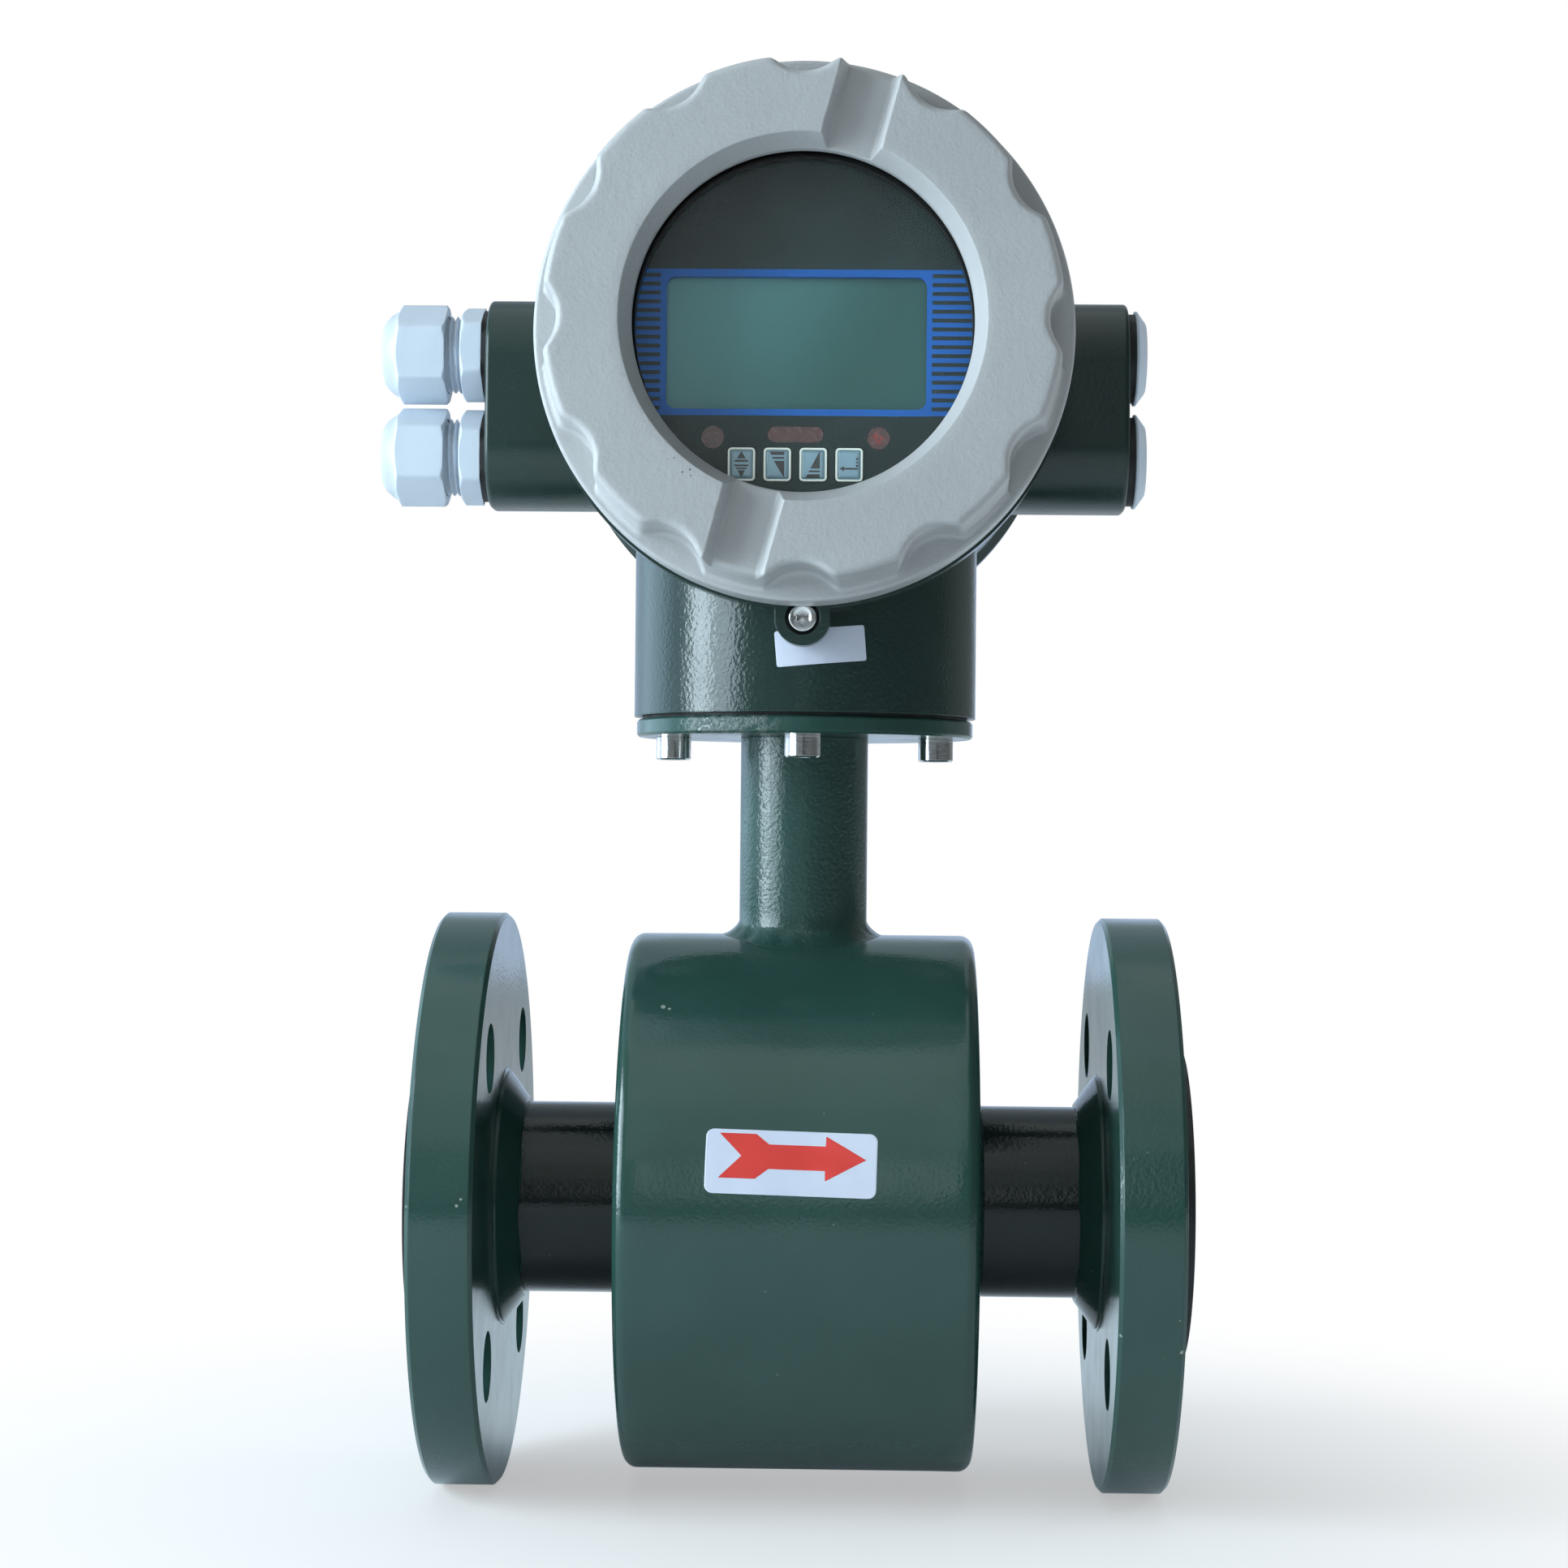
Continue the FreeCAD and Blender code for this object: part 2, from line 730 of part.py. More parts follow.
def stem_tube():
    """The standing tube, its foot coped to the drum, with the weld that joins them."""
    outer = "dims.stem_od / 2"
    weld = f"({outer} + dims.stem_weld_radial)"
    drum = "dims.drum_od / 2"
    weld_top = f"({drum} + dims.stem_weld_height)"
    corners = [
        (STEM_BORE_R, "dims.stem_root"),
        (weld, "dims.stem_root"),
        (weld, f"{drum} - dims.stem_weld_skirt"),
        (f"{outer} + dims.stem_weld_toe", f"{weld_top} - dims.stem_weld_toe"),
        (outer, weld_top),
        (outer, "dims.plate_bottom"),
        (STEM_BORE_R, "dims.plate_bottom"),
    ]
    item = turned("stem_tube", corners)
    sketch = sketch_on(item, "YZ_Plane")
    circle(sketch, drum)
    extrude(item, sketch, "dims.drum_length", cut=True, symmetric=True)


def screw_holes(item, sketch, radius, depth, **way):
    """Drills one hole on the screw circle and repeats it."""
    circle(sketch, radius, ("dims.screw_circle / 2", "0"))
    hole = extrude(item, sketch, depth, cut=True, **way)
    repeat_around(item, [hole], "dims.screw_count")


def mounting_plate():
    rim = "dims.plate_od / 2"
    edge = "dims.plate_edge"
    thick = "dims.plate_thick"
    corners = [
        (STEM_BORE_R, "0"),
        (f"{rim} - {edge}", "0"),
        (rim, edge),
        (rim, f"{thick} - {edge}"),
        (f"{rim} - {edge}", thick),
        (STEM_BORE_R, thick),
    ]
    item = turned("mounting_plate", corners, ("0", "0", "dims.plate_bottom"))
    sketch = sketch_on(item, "XY_Plane")
    screw_holes(item, sketch, "dims.screw_hole / 2", thick, backwards=True)


def neck_gasket():
    outer = "dims.gasket_od / 2"
    inner = "dims.neck_bore / 2"
    item = ring("neck_gasket", inner, outer, "0", "dims.gasket_thick", ("0", "0", PLATE_TOP))
    sketch = sketch_on(item, "XY_Plane")
    screw_holes(item, sketch, "dims.screw_hole / 2", "dims.gasket_thick", backwards=True)


def head_screws():
    """Four socket screws standing upside down under the mounting plate, and their washers."""
    item = new_body("head_screws", ("0", "0", "dims.plate_bottom - dims.washer_thick"))
    profile = sketch_on(item, "XZ_Plane", across="dims.screw_circle / 2")
    head = "dims.screw_head / 2"
    shank = "dims.screw_size / 2 - dims.fit_gap"
    edge = "dims.screw_edge"
    bottom = "-dims.screw_head_height"
    corners = [
        ("0", bottom),
        (f"{head} - {edge}", bottom),
        (head, f"{bottom} + {edge}"),
        (head, "0"),
        (shank, "0"),
        (shank, "dims.screw_grip"),
        ("0", "dims.screw_grip"),
    ]
    outline(profile, corners)
    screw = turn_profile(item, profile)
    socket = sketch_on(item, "XY_Plane", bottom, "dims.screw_circle / 2")
    hexagon(socket, "dims.screw_socket")
    recess = extrude(item, socket, "dims.screw_head_height / 2", cut=True, backwards=True)
    repeat_around(item, [screw, recess], "dims.screw_count", grows=True)

    washers = new_body("head_washers", ("0", "0", "dims.plate_bottom - dims.washer_thick"))
    flat = sketch_on(washers, "XY_Plane", across="dims.screw_circle / 2")
    circle(flat, "dims.washer_od / 2")
    circle(flat, "dims.screw_hole / 2")
    washer = extrude(washers, flat, "dims.washer_thick")
    repeat_around(washers, [washer], "dims.screw_count", grows=True)


def sensor_cable():
    """The coil and electrode leads, as one jacketed cable up the stem to its connector."""
    item = new_body("sensor_cable", ("0", "dims.cable_offset", "dims.cable_start"))
    sketch = sketch_on(item, "XY_Plane")
    circle(sketch, "dims.cable_od / 2")
    extrude(item, sketch, "dims.head_height - dims.connector_drop - dims.cable_start")

    middle = "(dims.connector_depth / 2 - dims.bulkhead_rear)"
    connector = new_body("sensor_connector", ("0", middle, "dims.head_height - dims.connector_drop"))
    sketch = sketch_on(connector, "XY_Plane")
    rounded_rectangle(
        sketch, "dims.connector_width", "dims.connector_depth", "dims.connector_corner"
    )
    extrude(connector, sketch, "dims.connector_height")


def transmitter_housing():
    """The cast housing: two chambers, spigots, neck, cable entry bosses and locking lug."""
    item = new_body("transmitter_housing", HEAD)
    front = "-dims.front_shoulder"
    rear = "dims.rear_shoulder"
    front_end = f"({front} - dims.front_spigot)"
    rear_end = f"({rear} + dims.rear_spigot)"
    spigot = "dims.spigot_od / 2"
    collar = "dims.collar_od / 2"
    barrel = "dims.barrel_od / 2"
    width = "dims.collar_width"
    step = "(dims.collar_od - dims.barrel_od) / 2"
    shell = sketch_on(item, "YZ_Plane")
    outline(shell, [
        (front_end, "0"),
        (front_end, spigot),
        (front, spigot),
        (front, collar),
        (f"{front} + {width}", collar),
        (f"{front} + {width} + {step}", barrel),
        (f"{rear} - {width} - {step}", barrel),
        (f"{rear} - {width}", collar),
        (rear, collar),
        (rear, spigot),
        (rear_end, spigot),
        (rear_end, "0"),
    ])
    turn_profile(item, shell, axis="H_Axis")

    neck = sketch_on(item, "XY_Plane", f"-{NECK_DROP}")
    circle(neck, "dims.neck_od / 2")
    extrude(item, neck, f"{NECK_DROP} - dims.chamber_od / 4")

    bosses = sketch_on(item, "YZ_Plane")
    drop = ("0", "-dims.boss_drop")
    rounded_rectangle(bosses, "dims.boss_width", "dims.boss_height", "dims.boss_corner", drop)
    extrude(item, bosses, "dims.boss_span", symmetric=True)

    lug = sketch_on(item, "XZ_Plane", "dims.front_shoulder")
    lug_r = "dims.lug_width / 2"
    lug_top = "-(dims.lug_drop - dims.lug_width)"
    rounded_outline(lug, [("0", "-dims.lug_drop"), ("0", lug_top)], lug_r)
    extrude(item, lug, "dims.lug_depth", backwards=True)

    chamber = "dims.chamber_od / 2"
    for start, end in ((front_end, "-dims.bulkhead_front"), ("-dims.bulkhead_rear", rear_end)):
        hollow = sketch_on(item, "YZ_Plane")
        outline(hollow, [(start, "0"), (end, "0"), (end, chamber), (start, chamber)])
        turn_profile(item, hollow, axis="H_Axis", cut=True)

    bore = sketch_on(item, "XY_Plane", f"-{NECK_DROP}")
    circle(bore, "dims.neck_bore / 2")
    extrude(item, bore, f"{NECK_DROP} - dims.neck_bore_top", cut=True, backwards=True)
    passage = sketch_on(item, "XY_Plane", f"-{NECK_DROP}")
    circle(passage, "dims.cable_od / 2 + dims.cable_clearance", ("0", "dims.cable_offset"))
    rise = f"{NECK_DROP} - {chamber} + dims.passage_overrun"
    extrude(item, passage, rise, cut=True, backwards=True)
    threads = sketch_on(item, "XY_Plane", f"-{NECK_DROP}")
    screw_holes(item, threads, "dims.screw_size / 2", "dims.screw_grip", backwards=True)

    ports = sketch_on(item, "YZ_Plane")
    for side in (1, -1):
        circle(ports, "dims.port_bore / 2", ("0", f"{side} * dims.port_spacing / 2 - dims.boss_drop"))
    extrude(item, ports, "dims.boss_span + 2 * dims.cut_margin", cut=True, symmetric=True)

    head_recess = ("dims.lock_recess / 2", "dims.lock_head_height + dims.lock_setback")
    tapped_hole = ("dims.lock_size / 2 + dims.fit_gap", "dims.lock_hole_depth")
    for radius, depth in (head_recess, tapped_hole):
        recess = sketch_on(item, "XZ_Plane", "dims.front_shoulder")
        circle(recess, radius, ("0", "-dims.lug_drop"))
        extrude(item, recess, depth, cut=True)

    end = number("dims.boss_span / 2")
    outer = number("dims.boss_width / 2")

    def boss_rim(edge):
        """Edges of the two boss end faces, leaving out the ports' own circles."""
        on_face = all(abs(abs(v.X) - end) < TOUCH for v in edge.Vertexes)
        port = isinstance(edge.Curve, Part.Circle) and len(edge.Vertexes) == 1
        return on_face and not port and abs(edge.CenterOfMass.y) <= outer + TOUCH

    round_edges(item, "dims.boss_edge", boss_rim)


def lock_screw():
    """The socket screw that locks the front cover, head outwards in the lug."""
    face = "-(dims.front_shoulder - dims.lock_setback)"
    place = ("0", face, "dims.head_height - dims.lug_drop")
    head = "dims.lock_head / 2"
    shank = "dims.lock_size / 2"
    under = "-dims.lock_head_height"
    corners = [
        ("0", "0"),
        (f"{head} - dims.screw_edge", "0"),
        (head, "-dims.screw_edge"),
        (head, under),
        (shank, under),
        (shank, f"{under} - dims.lug_depth"),
        ("0", f"{under} - dims.lug_depth"),
    ]
    item = turned("lock_screw", corners, place, TO_FRONT)
    sketch = sketch_on(item, "XY_Plane")
    hexagon(sketch, "dims.lock_socket")
    extrude(item, sketch, "dims.lock_head_height / 2", cut=True)


def scallop(item, base, top):
    """Cuts one grip hollow into the rim, from the base of the lobes to the face."""
    sketch = sketch_on(item, "XY_Plane", base)
    centre = "dims.lobe_front_od / 2 - dims.scallop_depth + dims.scallop_radius"
    circle(sketch, "dims.scallop_radius", ("0", centre))
    cut = extrude(item, sketch, f"{top} - {base}", cut=True, backwards=True)
    repeat_around(item, [cut], "dims.scallop_count")


def wrench_slots(item, top, depth):
    """Two straight slots across the rim, on one diameter."""
    sketch = sketch_on(item, "XY_Plane", top)
    turn = FreeCAD.Rotation(FreeCAD.Vector(0, 0, -1), 1)
    sketch.AttachmentOffset = FreeCAD.Placement(FreeCAD.Vector(0, 0, number(top)), turn)
    sketch.setExpression("AttachmentOffset.Rotation.Angle", "dims.slot_turn")
    half = "dims.slot_width / 2"
    near = "dims.window_od / 2 - dims.cut_margin"
    far = "dims.skirt_od / 2"
    for side in ("", "-"):
        outline(sketch, [
            (f"-{half}", f"{side}({near})"),
            (half, f"{side}({near})"),
            (half, f"{side}({far})"),
            (f"-{half}", f"{side}({far})"),
        ])
    extrude(item, sketch, depth, cut=True)


def scallop_corner(edge, base, top):
    """The slanting edge between a grip hollow and a lobe."""
    ends = sorted(vertex.Z for vertex in edge.Vertexes)
    if len(ends) != 2:
        return False
    return abs(ends[0] - base) < TOUCH and abs(ends[1] - top) < TOUCH


def lobe_rim(edge, top, inner):
    """An outer edge of the front face."""
    on_top = all(abs(vertex.Z - top) < TOUCH for vertex in edge.Vertexes)
    middle = edge.CenterOfMass
    return on_top and math.hypot(middle.x, middle.y) > inner


def cover_outside(depth, skirt):
    """The outer profile that both covers share, from the skirt's end to the face."""
    outer = "dims.skirt_od / 2"
    edge = "dims.skirt_edge"
    return [
        ("dims.cover_bore / 2", "0"),
        (f"{outer} - {edge}", "0"),
        (outer, edge),
        (outer, f"{skirt} - {edge}"),
        (f"{outer} - {edge}", skirt),
        ("dims.lobe_base_od / 2", skirt),
        ("dims.lobe_front_od / 2", depth),
    ]


def cover_inside(thread_end, ceiling):
    """The threaded skirt with its seal groove, from the ceiling back to the skirt's end."""
    bore = "dims.cover_bore / 2"
    groove = "dims.seal_groove_od / 2"
    start = "dims.seal_groove_start"
    end = f"({start} + dims.seal_groove_width)"
    return [
        ("dims.cover_inner_od / 2", ceiling),
        ("dims.cover_inner_od / 2", thread_end),
        (bore, thread_end),
        (bore, end),
        (groove, end),
        (groove, start),
        (bore, start),
    ]


def finish_rim(item, skirt, depth, slot_depth):
    """Grip hollows, rounded corners, wrench slots and a soft front edge."""
    scallop(item, skirt, depth)
    base = number(skirt)
    top = number(depth)
    round_edges(item, "dims.scallop_blend", lambda edge: scallop_corner(edge, base, top))
    middle = number("(dims.window_front_od + dims.lobe_front_od) / 4")
    round_edges(item, "dims.face_edge", lambda edge: lobe_rim(edge, top, middle))
    wrench_slots(item, depth, slot_depth)


def front_cover():
    depth = "dims.front_cover_depth"
    bevel_end = f"({depth} - dims.window_bevel)"
    ceiling = f"({RETAINER_BOTTOM} - dims.retainer_recess)"
    corners = cover_outside(depth, "dims.skirt_depth") + [
        ("dims.window_front_od / 2", depth),
        ("dims.window_od / 2", bevel_end),
        ("dims.window_od / 2", GLASS_SEAT),
        ("dims.glass_seat_od / 2", GLASS_SEAT),
        ("dims.glass_seat_od / 2", ceiling),
    ] + cover_inside("dims.front_spigot + dims.spigot_gap", ceiling)
    item = turned("front_cover", corners, ("0", FRONT_COVER_Y, "dims.head_height"), TO_FRONT)
    finish_rim(item, "dims.skirt_depth", depth, "dims.slot_depth")


def rear_cover():
    depth = "dims.rear_cover_depth"
    dish = "dims.rear_dish_od / 2"
    dish_floor = f"({depth} - dims.rear_dish_depth)"
    ceiling = f"({dish_floor} - dims.rear_face_thick)"
    corners = cover_outside(depth, "dims.rear_skirt_depth") + [
        (f"{dish} + dims.rear_dish_depth", depth),
        (dish, dish_floor),
        ("0", dish_floor),
        ("0", ceiling),
    ] + cover_inside("dims.rear_spigot + dims.spigot_gap", ceiling)
    item = turned("rear_cover", corners, ("0", REAR_COVER_Y, "dims.head_height"), TO_REAR)
    finish_rim(item, "dims.rear_skirt_depth", depth, "dims.rear_slot_depth")


def cover_seal(label, where, turn):
    """The O-ring that sits in a cover's groove."""
    item = new_body(label, where, turn)
    section = "dims.seal_section / 2"
    sketch = sketch_on(item, "XZ_Plane")
    middle = "dims.seal_groove_start + dims.seal_groove_width / 2"
    circle(sketch, section, (f"dims.spigot_od / 2 + dims.seal_gap + {section}", middle))
    turn_profile(item, sketch)


def window_pieces():
    """The glass with its gasket and the threaded ring that holds it from inside."""
    where = ("0", FRONT_COVER_Y, "dims.head_height")
    rim = "dims.glass_od / 2"
    inner = "dims.retainer_id / 2"
    gasket = "dims.window_od / 2 + dims.window_gasket_setback"
    ring("window_gasket", gasket, rim, GLASS_TOP, GLASS_SEAT, where, TO_FRONT)
    edge = "dims.glass_edge"
    turned("window_glass", [
        ("0", RETAINER_TOP),
        (f"{rim} - {edge}", RETAINER_TOP),
        (rim, f"{RETAINER_TOP} + {edge}"),
        (rim, f"{GLASS_TOP} - {edge}"),
        (f"{rim} - {edge}", GLASS_TOP),
        ("0", GLASS_TOP),
    ], where, TO_FRONT)
    item = ring("glass_retaining_ring", inner, rim, RETAINER_BOTTOM, RETAINER_TOP, where, TO_FRONT)
    notch = sketch_on(item, "XY_Plane", RETAINER_BOTTOM)
    half = "dims.notch_width / 2"
    outline(notch, [(f"-{half}", "0"), (half, "0"), (half, rim), (f"-{half}", rim)])
    cut = extrude(item, notch, "dims.notch_depth", cut=True, backwards=True)
    repeat_around(item, [cut], "dims.notch_count")


def key_place(index):
    """The middle of a key on the panel, counted from the left."""
    steps = index - (len(KEY_NAMES) - 1) / 2
    return (f"dims.panel_shift + dims.key_pitch * {steps}", "-dims.key_drop")


def lens_places():
    """The middles of the two round lenses, left one first."""
    return [(f"dims.panel_shift {side} dims.lens_spread", "-dims.lens_drop") for side in "-+"]


def post_holes(item, radius, depth, lift="0"):
    """Four holes on the posts' circle, at the diagonals."""
    sketch = sketch_on(item, "XY_Plane", lift)
    reach = f"dims.post_circle / 2 * {DIAGONAL}"
    circle(sketch, radius, (reach, reach))
    hole = extrude(item, sketch, depth, cut=True, backwards=True)
    repeat_around(item, [hole], "dims.post_count")


def head_place(distance):
    """A place on the head's axis at a distance in front of the stem."""
    return ("0", f"-({distance})", "dims.head_height")


def display_panel():
    """The front plate, with openings for the display, the keys and the sensor lenses."""
    item = new_body("display_panel", head_place(PANEL_BACK), TO_FRONT)
    plate = sketch_on(item, "XY_Plane")
    circle(plate, "dims.panel_od / 2")
    extrude(item, plate, "dims.panel_thick")
    openings = sketch_on(item, "XY_Plane")
    middle = ("dims.panel_shift", "-dims.lcd_drop")
    rounded_rectangle(openings, "dims.lcd_width", "dims.lcd_height", "dims.lcd_corner", middle)
    gap = "2 * dims.key_gap"
    for index in range(len(KEY_NAMES)):
        rounded_rectangle(
            openings,
            f"dims.key_width + {gap}",
            f"dims.key_height + {gap}",
            "dims.key_corner + dims.key_gap",
            key_place(index),
        )
    for place in lens_places():
        circle(openings, "dims.lens_od / 2", place)
    rounded_rectangle(
        openings,
        "dims.bar_lens_width",
        "dims.bar_lens_height",
        "dims.bar_lens_height / 2 - dims.snug_gap",
        ("dims.panel_shift", "-dims.bar_lens_drop"),
    )
    extrude(item, openings, "dims.panel_thick", cut=True, backwards=True)
    post_holes(item, "dims.panel_screw_size / 2 + dims.fit_gap", "dims.panel_thick")
    recess = "dims.panel_thick - dims.panel_screw_head_height"
    post_holes(item, "dims.panel_screw_head / 2 + dims.fit_gap", "dims.panel_thick", recess)


def sensor_windows():
    """The tinted lenses over the optical keys and the receiver."""
    thick = "dims.panel_thick - dims.lens_recess"
    for label, place in zip(("left_sensor_window", "right_sensor_window"), lens_places()):
        item = new_body(label, head_place(PANEL_BACK), TO_FRONT)
        sketch = sketch_on(item, "XY_Plane")
        circle(sketch, "dims.lens_od / 2 - dims.snug_gap", place)
        extrude(item, sketch, thick)
    item = new_body("middle_sensor_window", head_place(PANEL_BACK), TO_FRONT)
    sketch = sketch_on(item, "XY_Plane")
    rounded_rectangle(
        sketch,
        "dims.bar_lens_width - 2 * dims.snug_gap",
        "dims.bar_lens_height - 2 * dims.snug_gap",
        "dims.bar_lens_height / 2 - 2 * dims.snug_gap",
        ("dims.panel_shift", "-dims.bar_lens_drop"),
    )
    extrude(item, sketch, thick)


def key(label, index):
    """A key cap with the flange that keeps it behind the panel."""
    item = new_body(label, head_place(PANEL_BACK), TO_FRONT)
    cap = sketch_on(item, "XY_Plane", f"-{KEY_BACK}")
    place = key_place(index)
    rounded_rectangle(cap, "dims.key_width", "dims.key_height", "dims.key_corner", place)
    reach = f"{KEY_BACK} + dims.panel_thick + dims.key_proud"
    extrude(item, cap, reach)
    top = number("dims.panel_thick + dims.key_proud")
    bevel_edges(
        item,
        "dims.key_bevel",
        lambda edge: all(abs(vertex.Z - top) < TOUCH for vertex in edge.Vertexes),
    )
    rim = sketch_on(item, "XY_Plane", f"-{KEY_BACK}")
    rounded_rectangle(
        rim,
        "dims.key_width + 2 * dims.key_flange",
        "dims.key_height + 2 * dims.key_flange",
        "dims.key_corner",
        place,
    )
    extrude(item, rim, "dims.key_flange_thick")


def lcd_module():
    """The display glass with its metal-framed body, close behind the panel's opening."""
    item = new_body("lcd_module", head_place(PANEL_BACK), TO_FRONT)
    sketch = sketch_on(item, "XY_Plane")
    rounded_rectangle(
        sketch,
        "dims.lcd_width + 2 * dims.lcd_border",
        "dims.lcd_height + 2 * dims.lcd_border",
        "dims.lcd_body_corner",
        ("dims.panel_shift", "-dims.lcd_drop"),
    )
    extrude(item, sketch, "dims.lcd_thick", backwards=True)


def circuit_board(label, face):
    item = new_body(label, head_place(face), TO_FRONT)
    sketch = sketch_on(item, "XY_Plane")
    circle(sketch, "dims.board_od / 2")
    extrude(item, sketch, "dims.board_thick", backwards=True)
    post_holes(
        item, "dims.post_od / 2 + dims.post_clearance / 2", "dims.board_thick", "-dims.board_thick"
    )


def key_switches():
    """The four push switches on the display board, one behind each key."""
    item = new_body("key_switches", head_place("dims.display_board_face"), TO_FRONT)
    sketch = sketch_on(item, "XY_Plane")
    size = "dims.switch_size"
    rounded_rectangle(sketch, size, size, "dims.switch_corner", key_place(0))
    rest = f"{PANEL_BACK} - {KEY_BACK} - dims.key_travel - dims.fit_gap"
    block = extrude(item, sketch, f"{rest} - dims.display_board_face")
    repeat_along(item, [block], "X_Axis", "dims.key_pitch", str(len(KEY_NAMES)), grows=True)


def power_module():
    """The potted power supply on the back of the main board."""
    back = "(dims.main_board_face - dims.board_thick)"
    item = new_body("power_module", head_place(back), TO_FRONT)
    sketch = sketch_on(item, "XY_Plane")
    rounded_rectangle(sketch, "dims.power_width", "dims.power_height", "dims.power_corner")
    extrude(item, sketch, f"{back} - dims.bulkhead_front - dims.power_gap", backwards=True)


def board_posts():
    """The posts that carry the boards and the panel, and the screws in their ends."""
    item = new_body("board_posts", head_place("dims.bulkhead_front"), TO_FRONT)
    length = f"{PANEL_BACK} - dims.bulkhead_front"
    reach = f"dims.post_circle / 2 * {DIAGONAL}"
    sketch = sketch_on(item, "XY_Plane")
    circle(sketch, "dims.post_od / 2", (reach, reach))
    post = extrude(item, sketch, length)
    socket = sketch_on(item, "XY_Plane", length)
    circle(socket, "dims.panel_screw_size / 2 + dims.fit_gap", (reach, reach))
    tapped = extrude(item, socket, "dims.panel_screw_grip", cut=True)
    repeat_around(item, [post, tapped], "dims.post_count", grows=True)

    screws = new_body("panel_screws", head_place("dims.panel_face"), TO_FRONT)
    head_height = "dims.panel_screw_head_height"
    head = sketch_on(screws, "XY_Plane", f"-{head_height}")
    circle(head, "dims.panel_screw_head / 2", (reach, reach))
    cap = extrude(screws, head, head_height)
    shank = sketch_on(screws, "XY_Plane", f"-{head_height}")
    circle(shank, "dims.panel_screw_size / 2", (reach, reach))
    stud = extrude(screws, shank, "dims.panel_screw_grip", backwards=True)
    repeat_around(screws, [cap, stud], "dims.post_count", grows=True)


def terminal_strip():
    """The wiring terminals on the rear of the bulkhead, with wire entries below and screws."""
    place = ("0", "-dims.bulkhead_rear", "dims.head_height + dims.terminal_raise")
    item = new_body("terminal_block", place, TO_REAR)
    block = sketch_on(item, "XY_Plane")
    rounded_rectangle(block, "dims.terminal_width", "dims.terminal_height", "dims.terminal_corner")
    extrude(item, block, "dims.terminal_depth")
    first = "-dims.terminal_pitch * (dims.terminal_count - 1) / 2"
    entry = sketch_on(item, "XZ_Plane", "-dims.terminal_height / 2")
    half = "dims.terminal_entry / 2"
    near = "(dims.terminal_depth - dims.terminal_entry_height) / 2"
    far = "(dims.terminal_depth + dims.terminal_entry_height) / 2"
    outline(entry, [
        (f"{first} - {half}", near),
        (f"{first} + {half}", near),
        (f"{first} + {half}", far),
        (f"{first} - {half}", far),
    ])
    way_in = extrude(item, entry, "dims.terminal_entry_depth", cut=True, backwards=True)
    repeat_along(item, [way_in], "X_Axis", "dims.terminal_pitch", "dims.terminal_count")
    well = sketch_on(item, "XY_Plane", "dims.terminal_depth")
    circle(well, "dims.terminal_screw / 2 + dims.fit_gap", (first, "0"))
    shaft = extrude(item, well, "dims.terminal_screw_depth", cut=True)
    repeat_along(item, [shaft], "X_Axis", "dims.terminal_pitch", "dims.terminal_count")

    screws = new_body("terminal_screws", place, TO_REAR)
    floor = "dims.terminal_depth - dims.terminal_screw_depth"
    head = sketch_on(screws, "XY_Plane", floor)
    circle(head, "dims.terminal_screw / 2", (first, "0"))
    disc = extrude(screws, head, "dims.terminal_screw_thick")
    repeat_along(screws, [disc], "X_Axis", "dims.terminal_pitch", "dims.terminal_count", grows=True)


def port_place(side, level):
    """The mouth of a cable entry: side is -1 for the inlet side, level is +1 for the upper."""
    height = f"dims.head_height - dims.boss_drop + {level} * dims.port_spacing / 2"
    return (f"{side} * {PORT_FACE}", "0", height)


